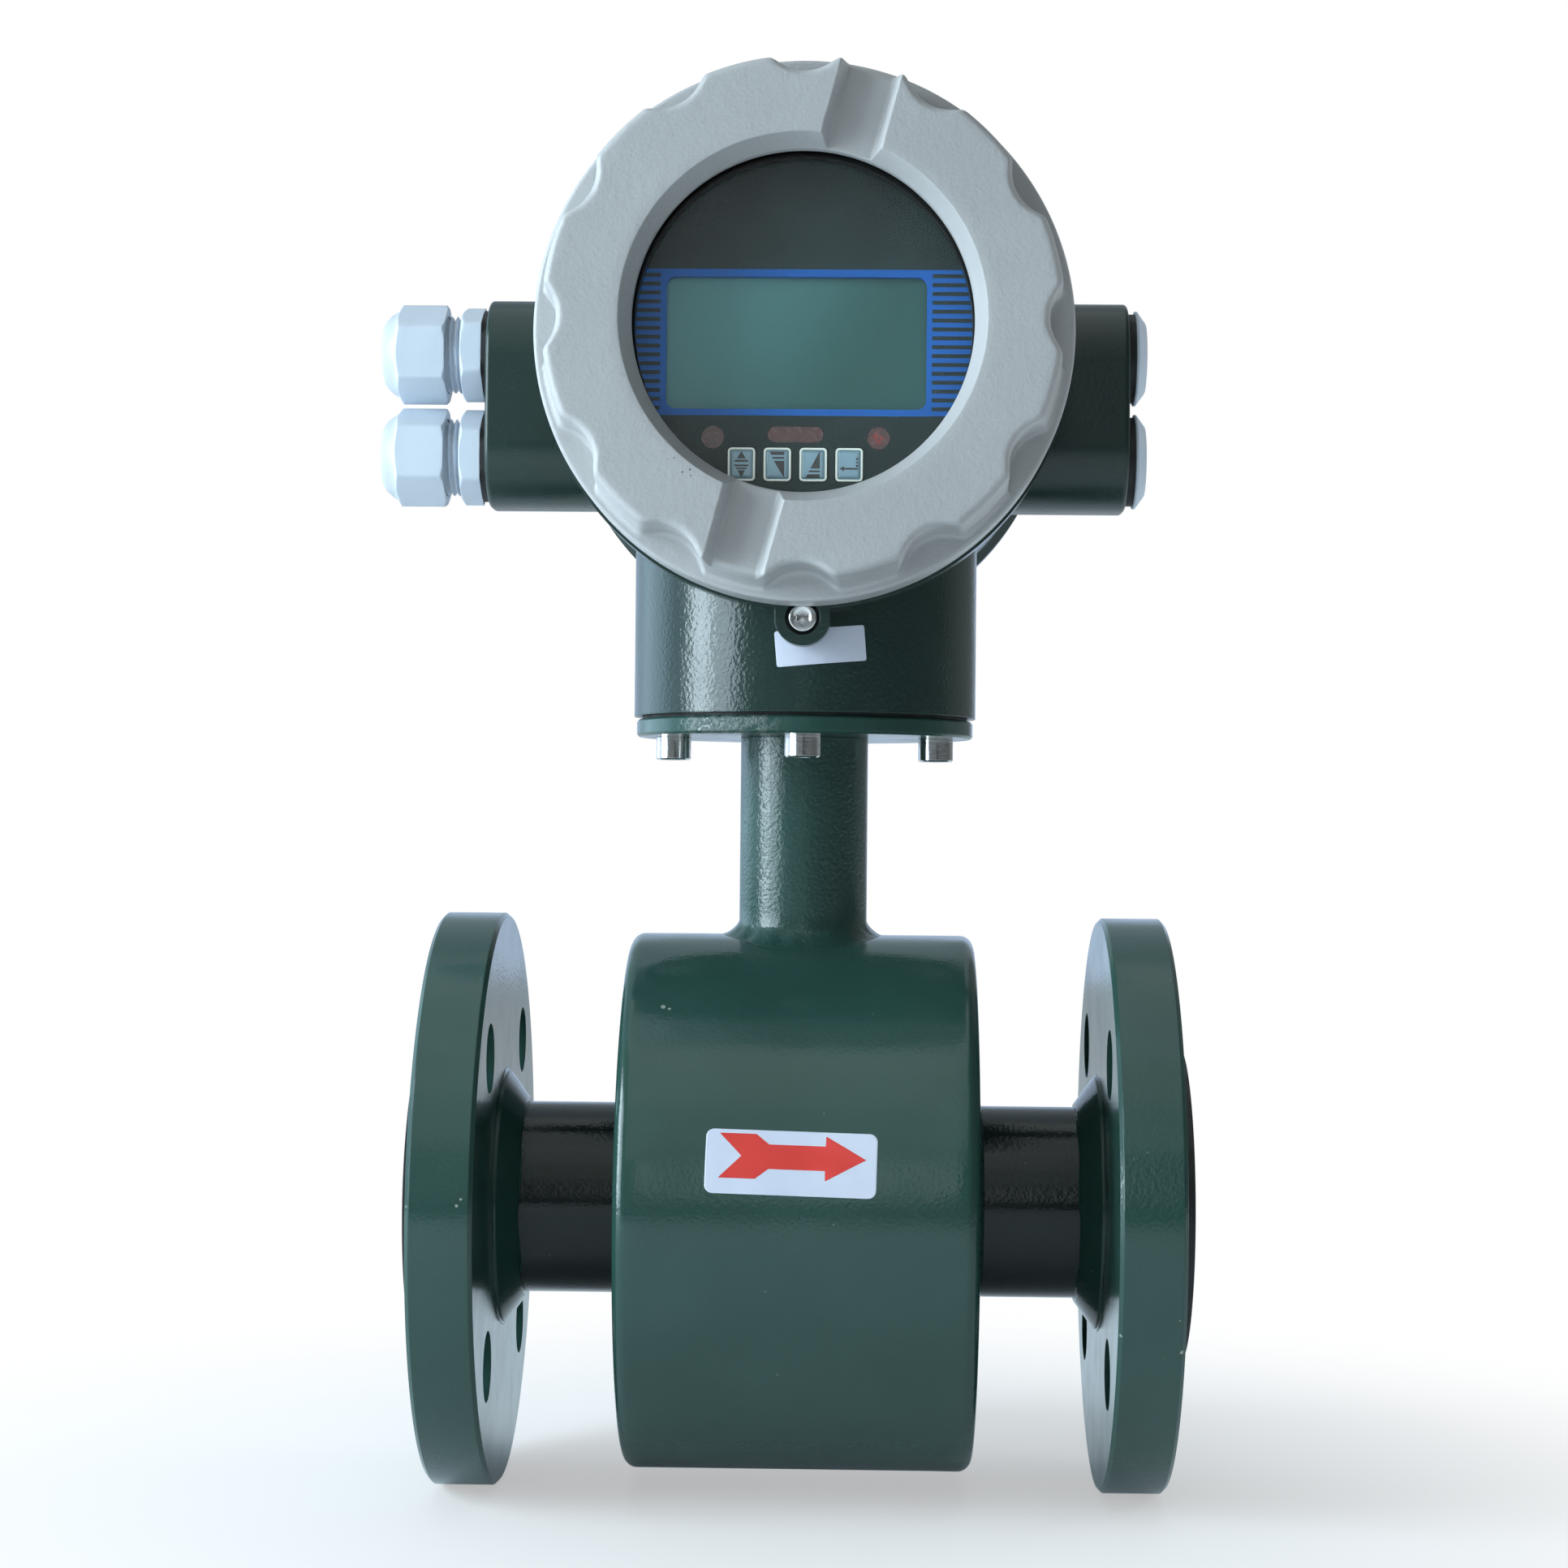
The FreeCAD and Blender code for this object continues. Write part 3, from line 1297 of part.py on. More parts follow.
def cable_gland(level_name, level):
    """Washer, threaded body, rubber seal and clamping nut of one gland; Z points outwards."""
    where = port_place(-1, level)
    hole = "dims.port_thread / 2"
    thick = "dims.gland_washer_thick"
    clear = f"{hole} + dims.washer_clearance / 2"
    label = f"{level_name}_gland"
    ring(f"{label}_washer", clear, "dims.gland_washer_od / 2", "0", thick, where, TO_INLET)

    bore = "dims.gland_bore / 2"
    hex_end = f"({thick} + dims.gland_hex_length)"
    thread_end = f"({hex_end} + dims.gland_thread_length)"
    lead = "dims.gland_thread_lead"
    body = turned(f"{label}_body", [
        (bore, "-dims.port_thread_length"),
        (hole, "-dims.port_thread_length"),
        (hole, hex_end),
        ("dims.gland_thread / 2", hex_end),
        ("dims.gland_thread / 2", f"{thread_end} - {lead}"),
        (f"dims.gland_thread / 2 - {lead}", thread_end),
        (bore, thread_end),
    ], where, TO_INLET)
    collar = sketch_on(body, "XY_Plane", thick)
    hexagon(collar, "dims.gland_hex")
    circle(collar, hole)
    extrude(body, collar, "dims.gland_hex_length")
    flat = "dims.gland_hex / 2"
    rim = f"({flat} + dims.gland_bevel_reach)"
    bevel = sketch_on(body, "XZ_Plane")
    outline(bevel, [(flat, hex_end), (rim, hex_end), (rim, f"{hex_end} - dims.gland_bevel")])
    turn_profile(body, bevel, cut=True)

    outer = "dims.seal_od / 2"
    end = "(dims.seal_start + dims.seal_length)"
    ring(f"{label}_seal", "dims.seal_bore / 2", outer, "dims.seal_start", end, where, TO_INLET)

    start = "dims.nut_start"
    top = f"({start} + dims.nut_length)"
    mouth = "dims.nut_mouth / 2"
    inner = "dims.nut_bore / 2"
    wall = "dims.nut_corner / 2"
    ceiling = f"({top} - dims.nut_cap)"
    dome_foot = f"({top} - dims.nut_dome)"
    shoulder = "dims.nut_shoulder / 2"
    shoulder_level = f"({top} - dims.nut_shoulder_drop)"
    nut = turned(f"{label}_nut", [
        (inner, start),
        (wall, start),
        (wall, dome_foot),
        (shoulder, shoulder_level),
        ("dims.nut_end / 2", top),
        (f"{mouth} + dims.nut_lip", top),
        (mouth, f"{top} - dims.nut_lip"),
        (mouth, ceiling),
        ("dims.seal_od / 2 + dims.seal_clearance", ceiling),
        (inner, f"{start} + dims.nut_bore_depth"),
    ], where, TO_INLET)
    bends = [(number(wall), number(dome_foot)), (number(shoulder), number(shoulder_level))]

    def dome_bend(edge):
        return any(circle_at(edge, radius, height) for radius, height in bends)

    round_edges(nut, "dims.nut_blend", dome_bend)
    flats = sketch_on(nut, "XY_Plane", start)
    circle(flats, f"{wall} + dims.cut_margin")
    hexagon(flats, "dims.nut_hex")
    extrude(nut, flats, "dims.nut_length", cut=True, backwards=True)


def blanking_plug(level_name, level):
    """A slotted plug and its washer in an unused cable entry; Z points outwards."""
    where = port_place(1, level)
    shank = "dims.port_thread / 2"
    thick = "dims.plug_washer_thick"
    clear = f"{shank} + dims.washer_clearance / 2"
    label = f"{level_name}_plug"
    ring(f"{label}_washer", clear, "dims.plug_washer_od / 2", "0", thick, where, TO_OUTLET)
    head = "dims.plug_head / 2"
    top = f"({thick} + dims.plug_head_thick)"
    item = turned(label, [
        ("0", "-dims.port_thread_length"),
        (shank, "-dims.port_thread_length"),
        (shank, thick),
        (head, thick),
        (head, f"{top} - dims.plug_slope"),
        ("dims.plug_flat / 2", top),
        ("0", top),
    ], where, TO_OUTLET)
    slot = sketch_on(item, "XY_Plane", top)
    half = "dims.plug_slot_width / 2"
    outline(slot, [
        (f"-{head}", f"-{half}"),
        (head, f"-{half}"),
        (head, half),
        (f"-{head}", half),
    ])
    extrude(item, slot, "dims.plug_slot_depth", cut=True)


measuring_tube()
tube_liner()
pipe_flange("inlet_flange", "-1", TO_INLET)
pipe_flange("outlet_flange", "1", TO_OUTLET)
coil_housing()
for half_name, facing in (("upper", TO_INLET), ("lower", TO_OUTLET)):
    saddle_coil(f"{half_name}_coil", facing)
    pole_shoe(f"{half_name}_pole_shoe", facing)
return_yoke()
electrode("front_electrode", TO_FRONT)
electrode("rear_electrode", TO_REAR)
electrode_fittings()
stem_tube()
mounting_plate()
neck_gasket()
head_screws()
sensor_cable()
transmitter_housing()
lock_screw()
front_cover()
rear_cover()
cover_seal("front_cover_seal", ("0", FRONT_COVER_Y, "dims.head_height"), TO_FRONT)
cover_seal("rear_cover_seal", ("0", REAR_COVER_Y, "dims.head_height"), TO_REAR)
window_pieces()
display_panel()
sensor_windows()
for key_index, key_name in enumerate(KEY_NAMES):
    key(key_name, key_index)
lcd_module()
circuit_board("display_board", "dims.display_board_face")
circuit_board("main_board", "dims.main_board_face")
key_switches()
power_module()
board_posts()
terminal_strip()
for entry_name, entry_level in (("upper", 1), ("lower", -1)):
    cable_gland(entry_name, entry_level)
    blanking_plug(entry_name, entry_level)

doc.recompute()
for item in doc.Objects:
    if "Invalid" in item.State or "Error" in item.State:
        raise RuntimeError(f"{item.Label} failed: {item.State}")
for item in nodes:
    if item.Shape.isNull() or not item.Shape.isValid():
        raise RuntimeError(f"{item.Label} has no valid shape")

os.makedirs("parts", exist_ok=True)
for item in nodes:
    item.Shape.exportStep(f"parts/{item.Label}.step")
print(f"{len(nodes)} sub-parts written")
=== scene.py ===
"""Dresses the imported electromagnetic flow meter: cast covers, welds, glands, print and finishes.

Lengths are millimetres in the part's own frame until a mesh is written: +X along the flow,
+Z up, the display faces -Y. Meshes are in metres.
"""
import math
import bpy
import numpy as np
from mathutils import Euler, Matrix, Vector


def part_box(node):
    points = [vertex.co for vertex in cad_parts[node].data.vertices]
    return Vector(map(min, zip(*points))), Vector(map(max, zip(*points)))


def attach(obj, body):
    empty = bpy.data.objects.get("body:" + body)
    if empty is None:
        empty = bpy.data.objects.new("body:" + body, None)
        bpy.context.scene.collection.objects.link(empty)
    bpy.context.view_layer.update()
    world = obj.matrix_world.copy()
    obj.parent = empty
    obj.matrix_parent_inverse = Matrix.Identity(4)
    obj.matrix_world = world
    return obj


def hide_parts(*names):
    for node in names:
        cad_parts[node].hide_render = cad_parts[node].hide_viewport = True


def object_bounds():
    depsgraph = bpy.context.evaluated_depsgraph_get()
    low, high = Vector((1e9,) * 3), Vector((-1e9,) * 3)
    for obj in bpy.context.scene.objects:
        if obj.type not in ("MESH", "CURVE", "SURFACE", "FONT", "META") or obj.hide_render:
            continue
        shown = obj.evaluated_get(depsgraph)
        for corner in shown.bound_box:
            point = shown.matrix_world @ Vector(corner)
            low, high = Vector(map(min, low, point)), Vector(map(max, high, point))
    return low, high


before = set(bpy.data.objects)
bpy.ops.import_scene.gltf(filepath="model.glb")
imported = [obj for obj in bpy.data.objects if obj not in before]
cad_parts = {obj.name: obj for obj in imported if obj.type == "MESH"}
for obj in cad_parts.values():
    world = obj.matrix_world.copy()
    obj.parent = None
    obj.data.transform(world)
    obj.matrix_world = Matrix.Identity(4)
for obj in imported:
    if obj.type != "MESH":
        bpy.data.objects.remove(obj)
cad_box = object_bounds()

MM = 0.001
TURN = 2.0 * math.pi


def extent(node):
    """Lowest and highest corner of a CAD node, in millimetres."""
    low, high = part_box(node)
    return np.array(low) / MM, np.array(high) / MM


def centre_of(node):
    """The middle of a CAD node's box, in millimetres."""
    low, high = extent(node)
    return (low + high) / 2


COVER_LOW, COVER_HIGH = extent("front_cover")
REAR_LOW, REAR_HIGH = extent("rear_cover")
LCD_LOW, LCD_HIGH = extent("lcd_module")
HEAD_Z = centre_of("front_cover")[2]
DRUM_R = extent("coil_housing")[1][2]
NECK_R = 45.2
STEM_R = 16.85
TUBE_R = 25.0
PORT_FACE = 84.0
ORIGIN = (0.0, 0.0, 0.0)

# Each way a turned piece can point: two directions across it, then its own axis
WAYS = {
    "front": ((1, 0, 0), (0, 0, 1), (0, -1, 0)),
    "rear": ((-1, 0, 0), (0, 0, 1), (0, 1, 0)),
    "inlet": ((0, -1, 0), (0, 0, 1), (-1, 0, 0)),
    "outlet": ((0, 1, 0), (0, 0, 1), (1, 0, 0)),
    "up": ((1, 0, 0), (0, 1, 0), (0, 0, 1)),
}


# Grids and meshes

CREASE = math.radians(35.0)


def turned(radius, angle, height, centre, way):
    """Points at a radius and angle about an axis and a height along it."""
    across, up, along = (np.array(direction, float) for direction in WAYS[way])
    radius, angle, height = np.broadcast_arrays(radius, angle, height)
    spread = (radius * np.cos(angle))[..., None] * across + (radius * np.sin(angle))[..., None] * up
    return np.array(centre, float) + spread + height[..., None] * along


def shell(points):
    """A grid that is closed in both its directions."""
    return points, True, True, False, None


def capped(points):
    """A grid that is closed round its columns, with a face over its first and its last row."""
    return points, False, True, True, None


def sheet(points):
    """An open grid that faces the front."""
    return points, False, False, False, (0.0, -1.0, 0.0)


def grid_faces(rows, columns, loop_rows, loop_columns):
    """Quads that join each grid point to the next row and column; a loop joins the last to the first."""
    index = np.arange(rows * columns).reshape(rows, columns)
    if loop_rows:
        index = np.concatenate([index, index[:1]], axis=0)
    if loop_columns:
        index = np.concatenate([index, index[:, :1]], axis=1)
    corners = [index[:-1, :-1], index[1:, :-1], index[1:, 1:], index[:-1, 1:]]
    return np.stack(corners, axis=-1).reshape(-1, 4)


def facing(points, faces, outward):
    """Positive when the quads face outwards: by enclosed volume, or along a given direction."""
    a, b, c, d = (points[faces[:, corner]] for corner in range(4))
    normal = np.cross(c - a, d - b)
    middle = (a + b + c + d) / 4
    towards = middle - points.mean(axis=0) if outward is None else np.array(outward, float)
    return float((normal * towards).sum())


def piece(name, grids, finish, body, replaces=(), inset=None):
    """One object from grids of points, each given with whether its rows and columns loop.

    A grid is (points, loop_rows, loop_columns, lids, outward). With lids, the first and last rows
    are closed by one face each. Without an outward direction the grid is taken as a closed shell.
    """
    vertices, faces, start = [], [], 0
    for points, loop_rows, loop_columns, lids, outward in grids:
        rows, columns = points.shape[:2]
        flat = points.reshape(-1, 3)
        quads = grid_faces(rows, columns, loop_rows, loop_columns)
        ends = [list(range(columns))[::-1], list(range((rows - 1) * columns, rows * columns))]
        if facing(flat, quads, outward) < 0:
            quads = quads[:, ::-1]
            ends = [end[::-1] for end in ends]
        faces += (quads + start).tolist()
        if lids:
            faces += [[corner + start for corner in end] for end in ends]
        vertices.append(flat)
        start += len(flat)
    mesh = bpy.data.meshes.new(name)
    mesh.from_pydata(np.concatenate(vertices) * MM, [], faces)
    mesh.polygons.foreach_set("use_smooth", np.ones(len(mesh.polygons), bool))
    mesh.set_sharp_from_angle(angle=CREASE)
    if inset is not None:
        layer = mesh.attributes.new("inset", "FLOAT", "POINT")
        layer.data.foreach_set("value", np.ascontiguousarray(inset, np.float32).ravel())
    mesh.materials.append(finish)
    mesh.validate()
    item = bpy.data.objects.new(name, mesh)
    bpy.context.scene.collection.objects.link(item)
    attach(item, body)
    if replaces:
        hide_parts(*replaces)


def smooth_min(a, b, width):
    """The smaller of two values, rounded by a parabola where they are within width of each other."""
    share = np.clip(0.5 + 0.5 * (b - a) / width, 0.0, 1.0)
    return b + (a - b) * share - width * share * (1.0 - share)


def smooth_step(value):
    """A ramp from 0 to 1 with level ends: three squares less two cubes."""
    value = np.clip(value, 0.0, 1.0)
    return value * value * (3.0 - 2.0 * value)


def full_turn(count):
    """Angles evenly round a turn."""
    return np.arange(count) * TURN / count


def repeated(rows, count):
    """Rows of one value each, repeated over a number of columns."""
    return np.broadcast_to(rows, (len(rows), count))


def wobble(angle, waves, seed):
    """A closed uneven line round a turn: sines of the given wave numbers with fixed phases."""
    phases = np.random.default_rng(seed).uniform(0.0, TURN, len(waves))
    return sum(np.sin(count * angle + phase) for count, phase in zip(waves, phases)) / len(waves)


# Finishes

class Nodes:
    """Short ways to add shader nodes to a tree and join them."""

    def __init__(self, tree):
        self.tree = tree

    def feed(self, socket, value):
        """Links a socket to another one, or sets its value."""
        if isinstance(value, bpy.types.NodeSocket):
            self.tree.links.new(value, socket)
        elif socket.type == "RGBA":
            socket.default_value = (*value, 1.0)
        else:
            socket.default_value = value

    def node(self, kind, inputs=(), **settings):
        """A node with its settings, and its inputs by name or number."""
        made = self.tree.nodes.new("ShaderNode" + kind)
        for name, value in settings.items():
            setattr(made, name, value)
        for name, value in dict(inputs).items():
            self.feed(made.inputs[name], value)
        return made

    def calc(self, operation, a, b=0.0, c=0.0):
        return self.node("Math", {0: a, 1: b, 2: c}, operation=operation).outputs["Value"]

    def both(self, a, b):
        return self.calc("MULTIPLY", a, b)

    def ramp(self, value, low, high, bottom=0.0, top=1.0):
        """A smooth step from bottom to top as the value goes from low to high."""
        inputs = {"Value": value, "From Min": low, "From Max": high, "To Min": bottom, "To Max": top}
        return self.node("MapRange", inputs, interpolation_type="SMOOTHSTEP").outputs["Result"]

    def blend(self, share, first, second):
        """A shader that goes from the first to the second with the share."""
        return self.node("MixShader", {0: share, 1: first, 2: second}).outputs["Shader"]

    def show(self, shader, output="Material Output"):
        self.tree.links.new(shader, self.tree.nodes[output].inputs["Surface"])


class Finish(Nodes):
    """A procedural material on object coordinates."""

    def __init__(self, name, **sockets):
        self.material = bpy.data.materials.new(name)
        self.material.use_nodes = True
        super().__init__(self.material.node_tree)
        self.shader = self.tree.nodes["Principled BSDF"]
        self.place = self.node("TexCoord").outputs["Object"]
        self.set(**sockets)

    def set(self, **sockets):
        """Sets or links the shader's sockets, named with underscores, and gives the material."""
        for name, value in sockets.items():
            self.feed(self.shader.inputs[name.replace("_", " ")], value)
        return self.material

    def noise(self, scale, detail=2.0, rough=0.5, place=None):
        """Soft noise with a pattern of the given size in millimetres."""
        inputs = {"Vector": place or self.place, "Scale": 1.0 / (scale * MM)}
        return self.node("TexNoise", {**inputs, "Detail": detail, "Roughness": rough}).outputs["Fac"]

    def drift(self, scale, low=0.0, high=1.0, detail=2.0):
        """A value that drifts between two others in a soft pattern of the given size."""
        return self.ramp(self.noise(scale, detail), 0.3, 0.7, low, high)

    def cells(self, scale):
        """Distance from the nearest of scattered points, in the points' own spacing."""
        inputs = {"Vector": self.place, "Scale": 1.0 / (scale * MM)}
        return self.node("TexVoronoi", inputs).outputs["Distance"]

    def mix(self, share, first, second):
        """A blend of two colours; the node's colour sockets are its seventh, eighth and third output."""
        return self.node("Mix", {0: share, 6: first, 7: second}, data_type="RGBA").outputs[2]

    def tones(self, scale, deep, light, detail=2.0):
        """Two close tones that drift into each other."""
        return self.mix(self.drift(scale, detail=detail), deep, light)

    def axis(self, name):
        """One coordinate of the place, in metres."""
        return self.node("SeparateXYZ", {"Vector": self.place}).outputs[name]

    def near(self, centre, radius, soft=0.5):
        """1 within a radius of a point in millimetres, falling to 0 beyond it."""
        inputs = {0: self.place, 1: [value * MM for value in centre]}
        offset = self.node("VectorMath", inputs, operation="DISTANCE").outputs["Value"]
        return self.ramp(offset, radius * MM, radius * soft * MM)

    def within(self, value, low, high, blur=0.06):
        """1 where a coordinate in metres lies between two places in millimetres."""
        above = self.ramp(value, (low - blur) * MM, (low + blur) * MM)
        return self.both(above, self.ramp(value, (high + blur) * MM, (high - blur) * MM))

    def bump(self, height, depth, normal=None):
        """A surface normal from a height of 0 to 1 that stands for a depth in millimetres."""
        inputs = {"Height": height, "Distance": depth * MM, "Strength": 1.0}
        if normal is not None:
            inputs["Normal"] = normal
        return self.node("Bump", inputs).outputs["Normal"]

    def soft_edges(self, radius):
        return self.node("Bevel", {"Radius": radius * MM}, samples=4).outputs["Normal"]


def gloss_paint(name, deep, light, peel, chips=(), scuffs=None, gloss=0.5, rough=(0.12, 0.18), calm=None):
    """Dark gloss enamel: slow shifts of tone, orange peel in two sizes, dust specks and chips.

    Above a calm height, where one is given, the coat is thinner: less peel and a duller gloss.
    """
    finish = Finish(name, Specular_IOR_Level=gloss)
    colour = finish.tones(42.0, deep, light, 3.0)
    dust = finish.ramp(finish.cells(5.5), 0.055, 0.03)
    dust = finish.both(dust, finish.ramp(finish.noise(19.0), 0.52, 0.62, 0.0, 0.5))
    colour = finish.mix(dust, colour, (0.16, 0.22, 0.19))
    rough = finish.ramp(finish.noise(14.0, 3.0), 0.3, 0.75, *rough)
    swell = finish.calc("MULTIPLY_ADD", finish.noise(6.0, 1.0), 0.4, finish.noise(1.0, 1.5))
    if calm is not None:
        thin = finish.ramp(finish.axis("Z"), (calm - 5.0) * MM, (calm + 5.0) * MM)
        swell = finish.both(swell, finish.calc("MULTIPLY_ADD", thin, -0.7, 1.0))
        rough = finish.calc("MULTIPLY_ADD", thin, 0.07, rough)
    normal = finish.bump(swell, peel, finish.soft_edges(0.5))
    if scuffs is not None:
        rub = finish.both(finish.near(*scuffs), finish.ramp(finish.noise(2.2, 4.0, 0.7), 0.42, 0.6))
        colour = finish.mix(finish.both(rub, 0.55), colour, (0.13, 0.15, 0.14))
        rough = finish.calc("MULTIPLY_ADD", rub, 0.3, rough)
        normal = finish.bump(finish.both(rub, finish.noise(0.9, 3.0)), 0.25, normal)
    for centre, radius, tint in chips:
        ragged = finish.calc("ADD", finish.near(centre, radius, 0.0), finish.noise(0.8, 3.0, 0.7))
        mark = finish.ramp(ragged, 0.92, 1.06)
        colour = finish.mix(mark, colour, tint)
        rough = finish.calc("MULTIPLY_ADD", mark, 0.35, rough)
    return finish.set(Base_Color=colour, Roughness=rough, Normal=normal)


def powder_coat(name, deep, light, specks=()):
    """Light grey textured powder coat on a casting: fine grain, soft blotches and a few dark pits."""
    finish = Finish(name, Specular_IOR_Level=0.45)
    colour = finish.tones(34.0, deep, light, 3.0)
    grain = finish.noise(0.95, 2.0, 0.6)
    lumps = finish.calc("MULTIPLY_ADD", finish.noise(2.6), 0.9, grain)
    for centre, radius, spacing in specks:
        pits = finish.both(finish.near(centre, radius), finish.ramp(finish.cells(spacing), 0.2, 0.1))
        colour = finish.mix(finish.both(pits, 0.85), colour, (0.05, 0.055, 0.06))
    stray = finish.ramp(finish.cells(7.0), 0.045, 0.02)
    stray = finish.both(stray, finish.ramp(finish.noise(23.0), 0.6, 0.66))
    colour = finish.mix(finish.both(stray, 0.7), colour, (0.08, 0.085, 0.09))
    normal = finish.bump(lumps, 0.1, finish.soft_edges(0.4))
    return finish.set(Base_Color=colour, Roughness=finish.drift(9.0, 0.34, 0.42), Normal=normal)


def plain_finish(name, deep, light, rough, grain=0.8, depth=0.02, edge=0.25, metal=0.0):
    """A moulded, rubber or metal surface: two close tones, uneven gloss and a fine grain."""
    finish = Finish(name, Metallic=metal)
    normal = finish.bump(finish.noise(grain), depth, finish.soft_edges(edge))
    gloss = finish.drift(4.8, rough * 0.85, rough * 1.15)
    return finish.set(Base_Color=finish.tones(12.0, deep, light, 3.0), Roughness=gloss, Normal=normal)


def nylon_finish(name, shade_start, shade_end):
    """Pale blue moulded nylon, greyed towards the clamping nut's nose as painted shade that keeps the
    lamp-facing end from turning white.
    """
    finish = Finish(name, Specular_IOR_Level=0.4)
    colour = finish.tones(12.0, (0.56, 0.62, 0.70), (0.60, 0.66, 0.74), 3.0)
    # Painted shade: grey laid over the nut's nose end, which faces the left lamp
    nose = finish.ramp(finish.axis("X"), shade_start * MM, shade_end * MM)
    colour = finish.mix(nose, colour, (0.46, 0.49, 0.53))
    normal = finish.bump(finish.noise(1.2), 0.012, finish.soft_edges(0.4))
    return finish.set(Base_Color=colour, Roughness=finish.drift(5.0, 0.31, 0.41), Normal=normal)


def drawn_steel(name):
    """Bright turned steel: fine rings across the axis and a little tarnish."""
    finish = Finish(name, Metallic=1.0)
    stretched = finish.node("Mapping", {"Vector": finish.place, "Scale": (1.0, 1.0, 14.0)})
    rings = finish.noise(1.6, place=stretched.outputs["Vector"])
    colour = finish.tones(3.0, (0.70, 0.70, 0.70), (0.80, 0.79, 0.77))
    normal = finish.bump(rings, 0.0015, finish.soft_edges(0.2))
    return finish.set(Base_Color=colour, Roughness=finish.ramp(rings, 0.3, 0.7, 0.14, 0.22), Normal=normal)


def window_pane(name):
    """Clear coated glass, so it mirrors little; it lets the lamps through to the display behind it."""
    finish = Finish(name, Base_Color=(0.95, 0.98, 0.97), Roughness=0.0, IOR=1.22, Transmission_Weight=1.0)
    clear = finish.node("BsdfTransparent", {"Color": (0.93, 0.97, 0.96)}).outputs["BSDF"]
    shadow = finish.node("LightPath").outputs["Is Shadow Ray"]
    finish.show(finish.blend(shadow, finish.shader.outputs["BSDF"], clear))
    return finish.material


def panel_print(name):
    """Dark film with a blue band round the display and sixteen dark bars on each side of it."""
    finish = Finish(name, Specular_IOR_Level=0.2)
    x = finish.axis("X")
    z = finish.axis("Z")
    pitch, first_bar = 2.166, 1.5
    left, right = LCD_LOW[0] + 0.05, LCD_HIGH[0] - 0.2
    bottom, top = LCD_LOW[2] - 0.1, LCD_HIGH[2] + 0.35
    outside = finish.calc("SUBTRACT", 1.0, finish.within(x, left, right))
    fall = finish.calc("SUBTRACT", (top - first_bar + pitch / 2) * MM, z)
    phase = finish.calc("FRACT", finish.calc("DIVIDE", fall, pitch * MM))
    bar = finish.ramp(finish.calc("ABSOLUTE", finish.calc("SUBTRACT", phase, 0.5)), 0.25, 0.21)
    bare = finish.calc("SUBTRACT", 1.0, finish.both(bar, outside))
    dark = finish.tones(20.0, (0.011, 0.024, 0.026), (0.016, 0.033, 0.035))
    blue = finish.tones(15.0, (0.004, 0.096, 0.368), (0.006, 0.108, 0.415))
    colour = finish.mix(finish.both(finish.within(z, bottom, top), bare), dark, blue)
    lint = finish.ramp(finish.cells(9.0), 0.02, 0.008)
    colour = finish.mix(finish.both(lint, 0.5), colour, (0.4, 0.45, 0.45))
    normal = finish.bump(finish.noise(0.35), 0.004)
    return finish.set(Base_Color=colour, Roughness=finish.drift(4.0, 0.42, 0.5), Normal=normal)


def display_face(name):
    """Unlit grey-green display with painted light and shade: lighter towards its upper left, where the
    window's rim shades it, and darker towards its lower right.
    """
    finish = Finish(name, Specular_IOR_Level=0.25)
    slant = finish.calc("SUBTRACT", finish.both(finish.axis("Z"), 0.6), finish.axis("X"))
    # Painted light and shade: the tone runs from dark at the lower right to light at the upper left
    colour = finish.mix(finish.ramp(slant, 0.11, 0.165), (0.026, 0.092, 0.085), (0.083, 0.230, 0.240))
    return finish.set(Base_Color=colour, Roughness=finish.drift(25.0, 0.3, 0.36))


def red_window(name, shine=None):
    """Dark red tinted plastic; where a centre is given, a painted glint: a brighter red spot laid into its
    colour.
    """
    finish = Finish(name, Specular_IOR_Level=0.6)
    colour = finish.tones(3.0, (0.058, 0.030, 0.032), (0.085, 0.034, 0.036))
    if shine is not None:
        # Painted glint: a bright red spot in the lens colour round the given centre
        painted_glint = finish.both(finish.near(shine, 2.3, 0.1), finish.ramp(finish.noise(1.2), 0.42, 0.62))
        colour = finish.mix(painted_glint, colour, (0.55, 0.02, 0.02))
    return finish.set(Base_Color=colour, Roughness=finish.drift(1.5, 0.2, 0.3))


def key_film(name):
    """A key's film by its distance from the edge: a cream line, then a pale blue dome."""
    finish = Finish(name, Specular_IOR_Level=0.6)
    edge = finish.node("Attribute", attribute_name="inset").outputs["Fac"]
    blue = finish.mix(finish.ramp(edge, 0.6, 1.6), (0.13, 0.22, 0.28), (0.22, 0.36, 0.45))
    colour = finish.mix(finish.ramp(edge, 0.5, 0.6), (0.82, 0.86, 0.80), blue)
    return finish.set(Base_Color=colour, Roughness=finish.drift(1.5, 0.16, 0.26))


GREEN = (0.0212, 0.0590, 0.0490), (0.0256, 0.0690, 0.0572)
# Painted shade: a darker copy of the green for the housing casting under the head
CAST_SHADE_GREEN = (0.0126, 0.0290, 0.0250), (0.0154, 0.0352, 0.0302)
STEM_GREEN = (0.0195, 0.0540, 0.0455), (0.0235, 0.0635, 0.0530)
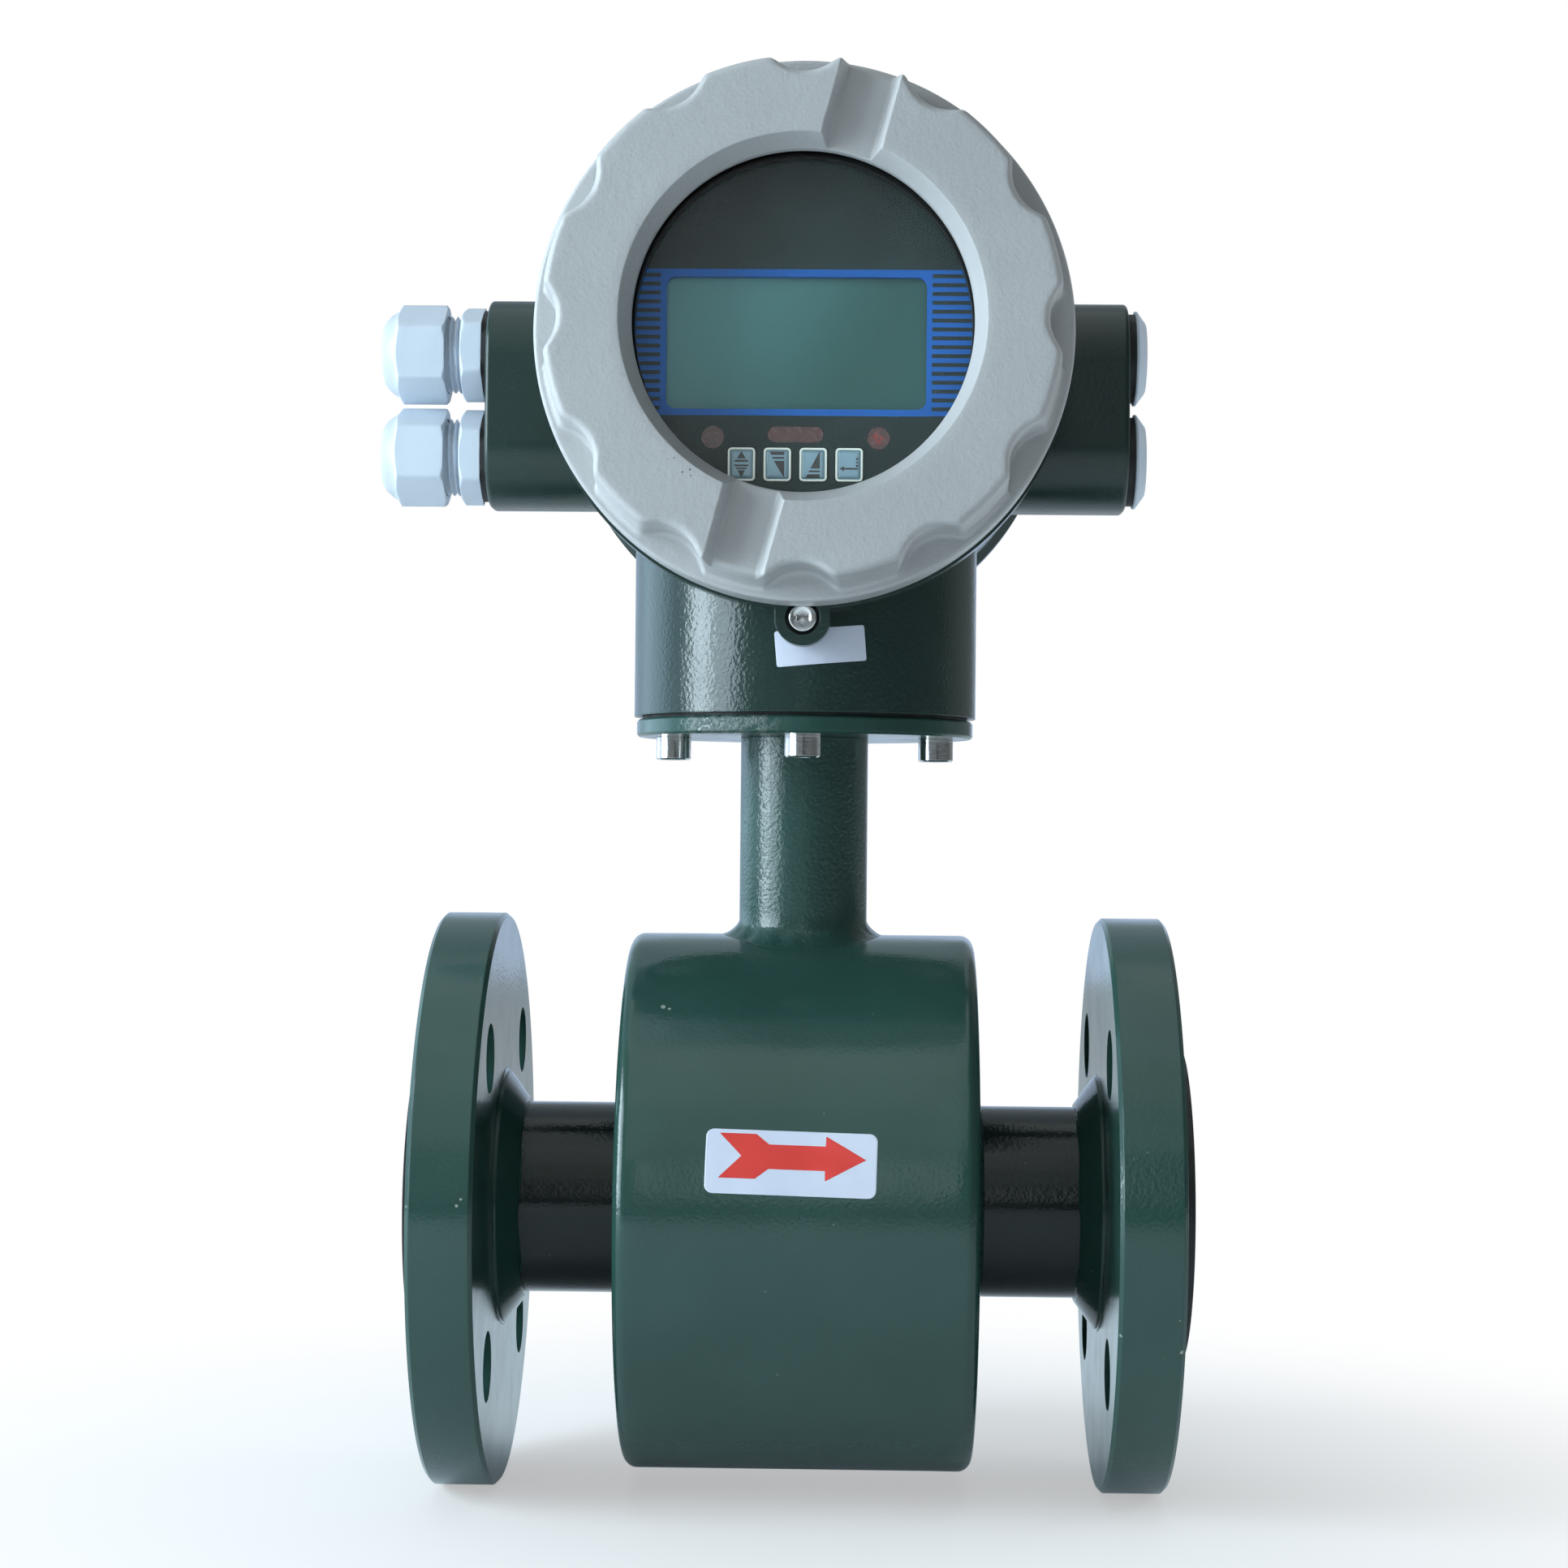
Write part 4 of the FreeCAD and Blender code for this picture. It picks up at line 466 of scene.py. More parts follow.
# Painted shade: a darker copy of the green for the measuring tube between the flanges and the drum
PIPE_SHADE_GREEN = (0.0080, 0.0160, 0.0140), (0.0105, 0.0200, 0.0175)
BARE = (0.42, 0.42, 0.38)
WORN = (0.24, 0.27, 0.25)
STEEL_PEEL = 0.045
CAST_PEEL = 0.11
STEM_PEEL = 0.14
BOSS_FOOT = 177.0
PLATE_SCUFF = ((-19.0, -40.0, 125.0), 19.0, 0.3)
FLANGE_CHIPS = [
    ((94.0, -69.8, -28.2), 1.4, BARE), ((78.5, -71.0, -24.2), 1.3, WORN), ((93.0, -72.0, -20.0), 0.6, WORN),
    ((-94.6, -74.8, 5.6), 1.3, BARE), ((-82.0, -74.8, 5.8), 0.8, WORN), ((-81.0, -74.5, 7.4), 0.6, WORN),
]
DRUM_CHIPS = [((-34.2, -45.9, 52.9), 1.15, WORN), ((-32.6, -46.4, 52.5), 0.8, WORN)]
COVER_SPECKS = [((-28.5, -90.0, HEAD_Z - 36.5), 5.0, 1.6), ((-26.0, -90.0, HEAD_Z - 38.5), 3.0, 1.2)]

green_paint = gloss_paint("green_enamel", *GREEN, STEEL_PEEL)
stem_paint = gloss_paint("green_stem_enamel", *STEM_GREEN, STEM_PEEL, rough=(0.21, 0.27))
# Painted shade: the housing casting wears a darker copy of the green enamel
shaded_cast_paint = gloss_paint("cast_enamel_painted_shade", *CAST_SHADE_GREEN, CAST_PEEL, rough=(0.18, 0.23), calm=BOSS_FOOT)
# Painted shade: the measuring tube wears a darker copy of the green enamel
shaded_pipe_paint = gloss_paint("pipe_enamel_painted_shade", *PIPE_SHADE_GREEN, STEEL_PEEL, gloss=0.35)
plate_paint = gloss_paint("scuffed_enamel", *GREEN, STEEL_PEEL, scuffs=PLATE_SCUFF)
flange_paint = gloss_paint("chipped_enamel", *GREEN, STEEL_PEEL, chips=FLANGE_CHIPS)
drum_paint = gloss_paint("drum_enamel", *GREEN, STEEL_PEEL, chips=DRUM_CHIPS)
cover_coat = powder_coat("grey_powder_coat", (0.418, 0.418, 0.419), (0.452, 0.452, 0.453), COVER_SPECKS)
black_rubber = plain_finish("black_rubber", (0.012, 0.012, 0.013), (0.02, 0.02, 0.021), 0.62, 0.5, 0.02)
liner_rubber = plain_finish("hard_rubber", (0.010, 0.010, 0.011), (0.016, 0.016, 0.017), 0.42, 0.8, 0.02)
anodised = plain_finish("black_anodised", (0.012, 0.012, 0.013), (0.02, 0.02, 0.02), 0.4)
steel = drawn_steel("turned_steel")
gland_nylon = nylon_finish("gland_nylon", -107.5, -110.5)
plug_nylon = plain_finish("plug_nylon", (0.56, 0.63, 0.72), (0.61, 0.68, 0.77), 0.4, 0.9, 0.02, 0.5)
label_film = plain_finish("label_film", (0.62, 0.66, 0.78), (0.67, 0.71, 0.82), 0.4, 6.0, 0.01, 0.1)
arrow_ink = plain_finish("arrow_ink", (0.68, 0.042, 0.032), (0.76, 0.054, 0.044), 0.42, 2.0, 0.006, 0.1)
icon_ink = plain_finish("icon_ink", (0.030, 0.032, 0.034), (0.042, 0.044, 0.046), 0.5, 1.0, 0.004, 0.05)
winding = plain_finish("copper_winding", (0.42, 0.17, 0.07), (0.55, 0.25, 0.11), 0.3, 0.5, 0.05, metal=1.0)
rolled_steel = plain_finish("rolled_steel", (0.25, 0.25, 0.26), (0.36, 0.36, 0.37), 0.4, metal=1.0)
black_moulding = plain_finish("black_moulding", (0.03, 0.03, 0.032), (0.05, 0.05, 0.055), 0.5)
jacket = plain_finish("grey_jacket", (0.15, 0.15, 0.16), (0.22, 0.22, 0.23), 0.5)
board_green = plain_finish("circuit_board", (0.01, 0.09, 0.04), (0.02, 0.13, 0.06), 0.4)
brass = plain_finish("brass", (0.55, 0.38, 0.14), (0.65, 0.47, 0.2), 0.28, metal=1.0)
key_finish = key_film("key_film")
red_lens = red_window("red_lens")
# The right sensor lens carries a painted glint
glint_lens = red_window("red_lens_painted_glint", centre_of("right_sensor_window"))

# Which nodes wear each finish; the seals, washers and gaskets that aren't named are black rubber
FINISHED = [
    (flange_paint, "inlet_flange outlet_flange"),
    (drum_paint, "coil_housing"),
    (green_paint, "stem_tube"),
    (plate_paint, "mounting_plate"),
    (shaded_pipe_paint, "measuring_tube"),
    (shaded_cast_paint, "transmitter_housing"),
    (cover_coat, "front_cover rear_cover"),
    (liner_rubber, "tube_liner"),
    (steel, "head_screws head_washers lock_screw panel_screws terminal_screws"),
    (steel, "front_electrode rear_electrode electrode_nuts"),
    (window_pane("window_pane"), "window_glass"),
    (anodised, "glass_retaining_ring"),
    (panel_print("printed_film"), "display_panel"),
    (display_face("display_face"), "lcd_module"),
    (red_lens, "left_sensor_window middle_sensor_window"),
    (glint_lens, "right_sensor_window"),
    (key_finish, "select_key down_key up_key enter_key"),
    (winding, "upper_coil lower_coil"),
    (rolled_steel, "upper_pole_shoe lower_pole_shoe return_yoke"),
    (black_moulding, "electrode_bushings sensor_connector terminal_block key_switches power_module"),
    (jacket, "sensor_cable"),
    (board_green, "display_board main_board"),
    (brass, "board_posts"),
    (plug_nylon, "upper_plug lower_plug"),
    (gland_nylon, "upper_gland_body lower_gland_body upper_gland_nut lower_gland_nut"),
]
finish_of = {node_name: finish for finish, names in FINISHED for node_name in names.split()}
for node_name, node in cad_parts.items():
    node.data.materials.clear()
    node.data.materials.append(finish_of.get(node_name, black_rubber))


# Cast covers

RIM_R = 61.0
LOBE_FRONT = 62.4
LOBE_BASE = 63.6
SKIRT_R = 66.3
HOLLOWS = 12
HOLLOW_R = 11.0
HOLLOW_DEPTH = 3.6
HOLLOW_BLEND = 1.5
SLOT_TURN = math.radians(15.0)
SLOT_HALF = 7.5
SLOT_DRAFT = 2.3
SLOT_STRIP = 9.6
BOWL_R = 44.0
RIM_EDGE = 1.9
SKIRT_FILLET = 1.5
SKIRT_SHOULDER = 1.0
SKIRT_FOOT = 0.8


def rim_radius(angle, lobe):
    """A circle hollowed by twelve cylinders, the two joined by a smooth minimum."""
    step = TURN / HOLLOWS
    off = (angle - TURN / 4 + step / 2) % step - step / 2
    centre = LOBE_FRONT - HOLLOW_DEPTH + HOLLOW_R
    reach = np.sqrt(np.maximum(HOLLOW_R ** 2 - (centre * np.sin(off)) ** 2, 0.0))
    return smooth_min(lobe, centre * np.cos(off) - reach, HOLLOW_BLEND)


def cover_columns():
    """Each column's share of the half turn and its distance from the slot's middle line.

    Columns in a slot's strip have no share and keep their distance, so the slot walls stay
    straight; the others spread over the half turn while their distance runs from edge to edge.
    """
    wall = np.linspace(SLOT_HALF - SLOT_DRAFT - 0.3, SLOT_HALF + 0.3, 14)
    land = np.array([8.5, SLOT_STRIP])
    strip = np.concatenate([-land[::-1], -wall[::-1], np.linspace(-4.2, 4.2, 9), wall, land])
    share = np.linspace(0.0, 1.0, 230)[1:-1]
    shares = np.concatenate([np.zeros(len(strip)), share])
    offsets = np.concatenate([strip, SLOT_STRIP * (1.0 - 2.0 * share)])
    return shares, offsets


def cover_points(way, centre, depth, skirt, slot_depth, bowl, inside):
    """A cast cover as rows of radius and height, from the bowl over the rim to the inside.

    The face falls into each slot by a ramp rounded at both ends. The bowl is the smaller of its
    own cone and that face. The rim's wall follows the hollowed outline, whose lobes lean in
    towards the face, with a rounded edge above and a fillet at the skirt.
    """
    shares, offsets = cover_columns()
    in_slot = shares == 0.0
    ramp = np.clip((SLOT_HALF - np.abs(offsets)) / SLOT_DRAFT, 0.0, 1.0)
    drop = np.where(in_slot, slot_depth * (0.35 * ramp + 0.65 * smooth_step(ramp)), 0.0)
    shares = np.concatenate([shares, shares + 1.0])
    offsets = np.tile(offsets, 2)
    drop = np.tile(drop, 2)

    def angles(radius):
        flat = np.maximum(np.atleast_1d(radius), BOWL_R - 4.0)[:, None]
        return TURN / 4 - SLOT_TURN + shares * math.pi + np.arcsin(offsets / flat)

    rim_angle = angles(RIM_R)[0]
    top = depth - drop
    edge, fillet, shoulder, foot = RIM_EDGE, SKIRT_FILLET, SKIRT_SHOULDER, SKIRT_FOOT
    front = rim_radius(rim_angle, LOBE_FRONT)
    rows = []

    def add(radius, height, angle):
        rows.append(np.stack(np.broadcast_arrays(radius, height, angle)))

    bowl_r, bowl_h = (np.array(line, float)[:, None] for line in zip(*bowl))
    reach = smooth_step((bowl_r - BOWL_R + 5.0) / 1.5)
    add(bowl_r, smooth_min(bowl_h, depth - drop * reach, 0.5), angles(bowl_r[:, 0]))
    share = np.linspace(0.0, 1.0, 13)[1:-1, None]
    add(BOWL_R + share * (front - edge - BOWL_R), top, angles(BOWL_R + share[:, 0] * (RIM_R - BOWL_R)))
    arc = np.linspace(0.0, TURN / 4, 8)[:, None]
    add(front - edge + edge * np.sin(arc), top - edge + edge * np.cos(arc), rim_angle)
    share = np.linspace(0.0, 1.0, 12)[1:-1, None]
    height = (top - edge) + share * (skirt + fillet - top + edge)
    lean = (height - skirt) / (depth - skirt)
    add(rim_radius(rim_angle, LOBE_BASE + (LOBE_FRONT - LOBE_BASE) * lean), height, rim_angle)
    base = rim_radius(rim_angle, LOBE_BASE)
    add(base + fillet * (1.0 - np.cos(arc)), skirt + fillet * (1.0 - np.sin(arc)), rim_angle)
    share = np.linspace(0.0, 1.0, 5)[1:-1, None]
    add(base + fillet + share * (SKIRT_R - shoulder - base - fillet), skirt, rim_angle)
    add(SKIRT_R - shoulder + shoulder * np.sin(arc), skirt - shoulder + shoulder * np.cos(arc), rim_angle)
    add(SKIRT_R, skirt + np.linspace(0.0, 1.0, 6)[1:-1, None] * (foot - skirt), rim_angle)
    add(SKIRT_R - foot + foot * np.cos(arc), foot - foot * np.sin(arc), rim_angle)
    inside_r, inside_h = (np.array(line, float)[:, None] for line in zip(*inside))
    add(inside_r, inside_h, rim_angle)
    radius, height, angle = np.concatenate(rows, axis=1)
    return turned(radius, angle, height, centre, way)


def cone(start, end, count):
    """Evenly spaced rows from one radius and height to another."""
    return [tuple(row) for row in np.linspace(start, end, count)]


FRONT_DEPTH = COVER_HIGH[1] - COVER_LOW[1]
FRONT_SKIRT = 16.7
FRONT_SLOT = 6.5
window_bowl = [(41.2, 29.2)] + cone((41.2, 29.9), (41.2, 31.4), 3)
window_bowl += cone((41.26, 31.7), (BOWL_R, FRONT_DEPTH), 18)
front_inside = [(61.7, 0.0), (61.7, 14.5), (57.0, 14.5), (57.0, 17.8), (46.5, 17.8), (46.5, 29.2)]
front_casting = cover_points("front", (0.0, COVER_HIGH[1], HEAD_Z), FRONT_DEPTH, FRONT_SKIRT, FRONT_SLOT,
                             window_bowl, front_inside)
piece("front_cover_casting", [shell(front_casting)],
      cover_coat, "front_cover", ["front_cover"])

REAR_DEPTH = REAR_HIGH[1] - REAR_LOW[1]
REAR_SKIRT = 14.0
REAR_SLOT = 3.5
DISH_R = 41.4
DISH_ROUND = 0.6
DISH = REAR_DEPTH - 2.0
rear_bowl = cone((0.4, DISH), (DISH_R, DISH), 8)
for bend in (0.3, 0.6, 0.9):
    rear_bowl.append((DISH_R + DISH_ROUND * math.sin(bend), DISH + DISH_ROUND * (1.0 - math.cos(bend))))
rear_bowl += cone((42.2, DISH + 0.45), (43.9, REAR_DEPTH), 6)
rear_inside = [(61.7, 0.0), (61.7, 12.5), (57.0, 12.5), (57.0, 20.6), (0.4, 20.6)]
rear_casting = cover_points("rear", (0.0, REAR_LOW[1], HEAD_Z), REAR_DEPTH, REAR_SKIRT, REAR_SLOT,
                            rear_bowl, rear_inside)
piece("rear_cover_casting", [capped(rear_casting)],
      cover_coat, "rear_cover", ["rear_cover"])


# Welded drum, beads and stem foot

def drum_points():
    """The coil drum as a turned shell: a bead at the pipe, flat ends, rounded rims and a plain body.

    The rims waver a little in radius where they were dressed after welding, and the beads are uneven.
    """
    angle = full_turn(360)
    half = 45.0
    rim, bead = 3.4, 2.6
    arc = np.linspace(0.0, TURN / 4, 9)
    across = np.linspace(0.0, 1.0, 9)
    bead_r = TUBE_R + 3.0 * across + 0.35 * np.sin(across * math.pi)
    bead_x = half + bead * (1.0 - across) + 0.35 * np.sin(across * math.pi)
    face_r = np.linspace(TUBE_R + 3.6, DRUM_R - rim, 10)
    rim_r = DRUM_R - rim + rim * np.sin(arc)
    rim_x = half - rim + rim * np.cos(arc)
    body_x = np.linspace(half - rim, 0.0, 14)[1:]
    radius = np.concatenate([bead_r, face_r, rim_r, np.full(len(body_x), DRUM_R)])
    place = np.concatenate([bead_x, np.full(len(face_r), half), rim_x, body_x])
    rough = np.concatenate([np.sin(across * math.pi) * 0.4, np.zeros(len(face_r) + len(rim_r) + len(body_x))])
    wave = np.exp(-(((place - half + 4.0) / 4.5) ** 2)) * (radius > DRUM_R - 4.0)
    along = np.concatenate([place, -place[-2::-1]])
    radius, rough, wave = (np.concatenate([line, line[-2::-1]]) for line in (radius, rough, wave))
    right_rim, left_rim = wobble(angle, (7, 11, 19, 31), 3), wobble(angle, (6, 13, 17, 29), 8)
    uneven = np.where(along[:, None] > 0, right_rim, left_rim)
    ripple = wobble(angle, (23, 37, 51, 64), 5)
    grown = radius[:, None] + rough[:, None] * ripple + wave[:, None] * 0.22 * uneven
    return turned(grown, angle, along[:, None], ORIGIN, "outlet")


piece("drum_shell", [shell(drum_points())], drum_paint, "meter", ["coil_housing"])


def ring_bead(face, side, seed):
    """A fillet weld round the pipe against a flange: a slightly hollow slope with an uneven reach."""
    angle = full_turn(300)
    share = np.linspace(0.0, 1.0, 15)[:, None]
    sag = np.sin(share * math.pi)
    uneven = wobble(angle, (2, 3, 5, 8), seed)
    ripple = wobble(angle, (17, 29, 41), seed + 1)
    slope = 0.16 * sag * ripple - 0.55 * sag
    sunk = 0.2
    radius = TUBE_R - sunk + (8.9 + 0.9 * uneven) * share + slope
    reach = (6.4 + 0.8 * wobble(angle, (3, 4, 7), seed + 2)) * (1.0 - share) + slope
    radius = np.concatenate([radius, np.full((1, len(angle)), TUBE_R - sunk)])
    reach = np.concatenate([reach, np.full((1, len(angle)), -sunk)])
    return turned(radius, angle, side * (face - reach), ORIGIN, "outlet")


FLANGE_FACE = 78.25
for bead_name, bead_side, bead_seed in (("inlet_weld", -1, 21), ("outlet_weld", 1, 34)):
    weld = ring_bead(FLANGE_FACE, bead_side, bead_seed)
    piece(bead_name, [shell(weld)], green_paint, "meter")


def stem_points():
    """The standing tube and its weld: a straight wall, then a hollow quarter round out to the drum.

    Below the wall the radius grows and the height above the drum's own curve falls as the two legs
    of a quarter turn; both legs are uneven and a few lumps stand on the slope.
    """
    angle = full_turn(240)
    top, bore = extent("stem_tube")[1][2], 13.85
    quarter = np.linspace(0.0, TURN / 4, 17)[:, None]
    middle = np.sin(quarter * 2.0)
    lumps = wobble(angle, (9, 14, 22), 12) * 0.3 * middle * (0.4 + 0.6 * wobble(angle, (2, 3), 14))
    wide = 4.3 + 0.55 * wobble(angle, (3, 5, 8), 13)
    high = 3.9 + 0.6 * wobble(angle, (2, 5, 7), 15)
    slope_r = STEM_R + wide * (1.0 - np.cos(quarter)) + 0.35 * middle + lumps
    seat = np.sqrt(DRUM_R ** 2 - (slope_r * np.sin(angle)) ** 2)
    slope_h = seat + high * (1.0 - np.sin(quarter)) + 0.35 * middle + lumps
    share = np.linspace(0.0, 1.0, 14)[:-1, None]
    wall_h = top + share * (slope_h[:1] - top)
    root = np.sqrt(DRUM_R ** 2 - (STEM_R * np.sin(angle)) ** 2) - 2.5
    inside = np.full((2, len(angle)), bore)
    radius = np.concatenate([np.full_like(wall_h, STEM_R), slope_r, slope_r[-1:], inside])
    height = np.concatenate([wall_h, slope_h, slope_h[-1:] - 1.5, root[None, :], wall_h[:1]])
    return turned(radius, angle, height, ORIGIN, "up")


piece("stem_wall", [shell(stem_points())], stem_paint, "meter", ["stem_tube"])


# Cable glands

NUT_FLATS = 23.2
BODY_FLATS = 22.4
THREAD_PITCH = 1.5


def hex_radius(angle, flats, corner):
    """Half the width over flats divided by the cosine from the nearest flat, with rounded corners."""
    off = (angle + TURN / 12) % (TURN / 6) - TURN / 12
    return smooth_min(flats / 2 / np.cos(off), corner, 0.7)


def nut_points(centre, lean):
    """A clamping nut: the smaller of a hexagon and a dome whose radius grows as a square root from its end.

    A short step under the dome brings it out past the hexagon's corners, so the flats end nearly straight.
    """
    angle = full_turn(240)
    start, top = 11.7, 28.7
    flats = hex_radius(angle - lean, NUT_FLATS, NUT_FLATS / math.sqrt(3.0) - 0.1)
    height = np.concatenate([start + np.array([0.0, 0.2, 0.5, 0.9]), np.linspace(13.4, 19.6, 7)])
    rise = np.sin(np.linspace(0.0, TURN / 4, 34))
    height = np.concatenate([height, 20.2 + (top - 20.2) * rise, np.linspace(23.3, 24.8, 9)])
    height = np.sort(height)[:, None]
    dome = 7.0 + np.sqrt((top - height) * 5.06) + 1.7 * smooth_step((top - height - 4.0) / 1.2)
    chamfer = 12.4 + 1.6 * (height - start)
    radius = smooth_min(smooth_min(flats, dome, 0.35), np.minimum(chamfer, 14.5), 0.3)
    mouth = np.array([(6.6, top), (6.25, 28.35), (6.2, 26.1), (7.7, 26.1), (10.25, 21.2), (10.25, start)])
    radius = np.concatenate([radius, repeated(mouth[:, :1], len(angle))])
    height = repeated(np.concatenate([height, mouth[:, 1:]]), len(angle))
    return turned(radius, angle, height, centre, "inlet")


def gland_body_points(centre, lean):
    """A gland body: port thread, a hexagon bevelled towards the nut, and a helical thread.

    The thread's radius is a cosine of the height in pitches less the share of a turn.
    """
    angle = full_turn(240)
    start, end = 2.0, 7.7
    flats = hex_radius(angle - lean, BODY_FLATS, BODY_FLATS / math.sqrt(3.0) - 0.15)
    chamfer = [start, start + 0.2, start + 0.45]
    hex_h = np.concatenate([chamfer, np.linspace(3.0, 5.6, 5), np.linspace(5.8, end, 12)])
    inward = np.minimum(12.7 + 1.9 * (hex_h - start), BODY_FLATS / 2 + 1.7 * (end - hex_h))[:, None]
    hexagon = smooth_min(flats, inward, 0.25)
    thread_h = np.linspace(end, 19.6, 136)[:, None]
    ridge = 0.5 + 0.5 * np.cos(TURN * (thread_h - 8.9) / THREAD_PITCH - angle)
    thread = 9.0 + 1.15 * ridge
    port = np.array([(7.6, -10.0), (9.5, -10.0), (9.8, -9.5), (9.8, start)])
    bore = np.array([(9.0, 20.0), (7.6, 20.0)])
    port_r, bore_r = (repeated(line[:, :1], len(angle)) for line in (port, bore))
    radius = np.concatenate([port_r, hexagon, thread, bore_r])
    height = np.concatenate([port[:, 1:], hex_h[:, None], thread_h, bore[:, 1:]])
    return turned(radius, angle, height, centre, "inlet")


# How far each gland was left turned when it was tightened
for level, nut_lean, body_lean in (("upper", -0.08, 0.06), ("lower", 0.03, -0.05)):
    gland_mouth = (-PORT_FACE, 0.0, centre_of(f"{level}_gland_nut")[2])
    piece(f"{level}_nut_moulding", [shell(nut_points(gland_mouth, nut_lean))],
          gland_nylon, f"{level}_gland_nut", [f"{level}_gland_nut"])
    piece(f"{level}_body_moulding", [shell(gland_body_points(gland_mouth, body_lean))],
          gland_nylon, "meter", [f"{level}_gland_body"])


def plug_points(centre, lean):
    """A blanking plug: a shank and a head with a broad bevel and a slot across it.

    Near the slot's middle line the head's height falls to the slot's floor through a smooth step of
    the distance from that line.
    """
    angle = full_turn(360)
    top, slot_floor = 5.3, 3.9
    rim = [(12.0, 2.2), (12.4, 2.3), (12.5, 2.5), (12.5, 2.8)]
    bevel = cone((12.4, 3.0), (9.5, 5.12), 12)
    face = [(9.2, 5.27)] + cone((8.9, top), (0.3, top), 26)
    profile = np.array([(0.3, -10.0), (9.4, -10.0), (9.8, -9.6), (9.8, 2.2)] + rim + bevel + face)
    radius, height = profile[:, :1], profile[:, 1:]
    inside = smooth_step((1.35 - np.abs(radius * np.sin(angle - lean))) / 0.3)
    height = height - inside * np.maximum(height - slot_floor, 0.0)
    return turned(radius, angle, height, centre, "outlet")


for level, plug_lean in (("upper", 0.06), ("lower", -0.04)):
    plug_mouth = (PORT_FACE, 0.0, centre_of(f"{level}_plug")[2])
    piece(f"{level}_plug_moulding", [capped(plug_points(plug_mouth, TURN / 4 + plug_lean))],
          plug_nylon, f"{level}_plug", [f"{level}_plug"])


# Lock screw

def lock_screw_points():
    """A socket screw: shank, rounded rim, a face that dips to a bevelled mouth, and a six-sided socket."""
    angle = full_turn(96)
    low, high = extent("lock_screw")
    shank = (high[0] - low[0]) / 2
    length = high[1] - low[1]
    rim = 0.55
    arc = np.linspace(0.0, TURN / 4, 7)
    rounded = np.stack([shank - rim + rim * np.cos(arc), length - rim + rim * np.sin(arc)], axis=-1)
    face = [(2.75, length - 0.02), (2.45, length - 0.08), (2.2, length - 0.12)]
    outer = np.concatenate([[(shank, 0.0)], rounded, face])
    socket = hex_radius(angle, 3.5, 1.98)
    inner = [socket, socket - 0.05, socket * 0.55, np.full(len(angle), 0.02)]
    depth = np.array([0.5, 1.5, 1.6, 1.62])[:, None]
    radius = np.concatenate([repeated(outer[:, :1], len(angle)), inner])
    height = np.concatenate([outer[:, 1:], length - depth])
    middle = centre_of("lock_screw")
    return turned(radius, angle, height, (middle[0], high[1], middle[2]), "front")


piece("lock_screw_steel", [capped(lock_screw_points())], steel, "meter", ["lock_screw"])


# Keys, signs and labels

def rounded_loop(arc_steps, side_steps):
    """Round a rounded rectangle: which corner centre a point belongs to, and its direction from it.

    On an arc the direction turns; on a side it stays while the centre slides to the next corner.
    """
    signs = np.array([(1, 1), (-1, 1), (-1, -1), (1, -1)], float)
    starts = np.arange(4) * TURN / 4
    arc = np.linspace(0.0, TURN / 4, arc_steps)
    slide = np.linspace(0.0, 1.0, side_steps + 2)[1:-1]
    held = np.full(side_steps, TURN / 4)
    turn = np.concatenate([start + np.concatenate([arc, held]) for start in starts])
    following = np.roll(signs, -1, axis=0)
    corner = np.concatenate([
        np.concatenate([np.repeat(signs[k:k + 1], arc_steps, axis=0),
                        signs[k] + slide[:, None] * (following[k] - signs[k])]) for k in range(4)
    ])
    return corner, np.stack([np.cos(turn), np.sin(turn)], axis=-1)


def rounded_rows(width, height, radius, insets, arc_steps=8, side_steps=6):
    """Rows of a rounded rectangle, each drawn in by its inset; the corner radius shrinks with it."""
    corner, direction = rounded_loop(arc_steps, side_steps)
    insets = np.array(insets, float)[:, None, None]
    half = np.array([width, height]) / 2 - insets
    bend = np.maximum(radius - insets, 0.12)
    return corner * (half - bend) + direction * bend


KEY_SIZE = np.array([6.7, 8.2])
KEY_CORNER = 1.0


def key_dome(inset):
    """How far the dome lies below its top: the cube of the way still to go from the border, 0.36 at most."""
    return 0.36 * (1.0 - np.clip((inset - 0.56) / 1.5, 0.0, 1.0)) ** 3


def key_points(centre, low, high):
    """A key cap: straight walls, a flat border line and a dome that rises steeply inside it."""
    border = [0.0, 0.0, 0.04, 0.12, 0.3, 0.48, 0.56]
    below = [high - low, 0.25, 0.16, 0.12, 0.12, 0.14, 0.36]
    inner = 0.6 + 2.4 * np.linspace(0.0, 1.0, 18) ** 1.6
    insets = np.concatenate([border, inner])
    rows = rounded_rows(*KEY_SIZE, KEY_CORNER, insets)
    height = high - np.concatenate([below, key_dome(inner)])
    places = repeated(height[:, None], rows.shape[1])
    points = np.stack([centre[0] + rows[..., 0], -places, centre[2] + rows[..., 1]], axis=-1)
    return points, repeated(insets[:, None], rows.shape[1])


SIGN_SCALE = np.array([1.15, 1.3])


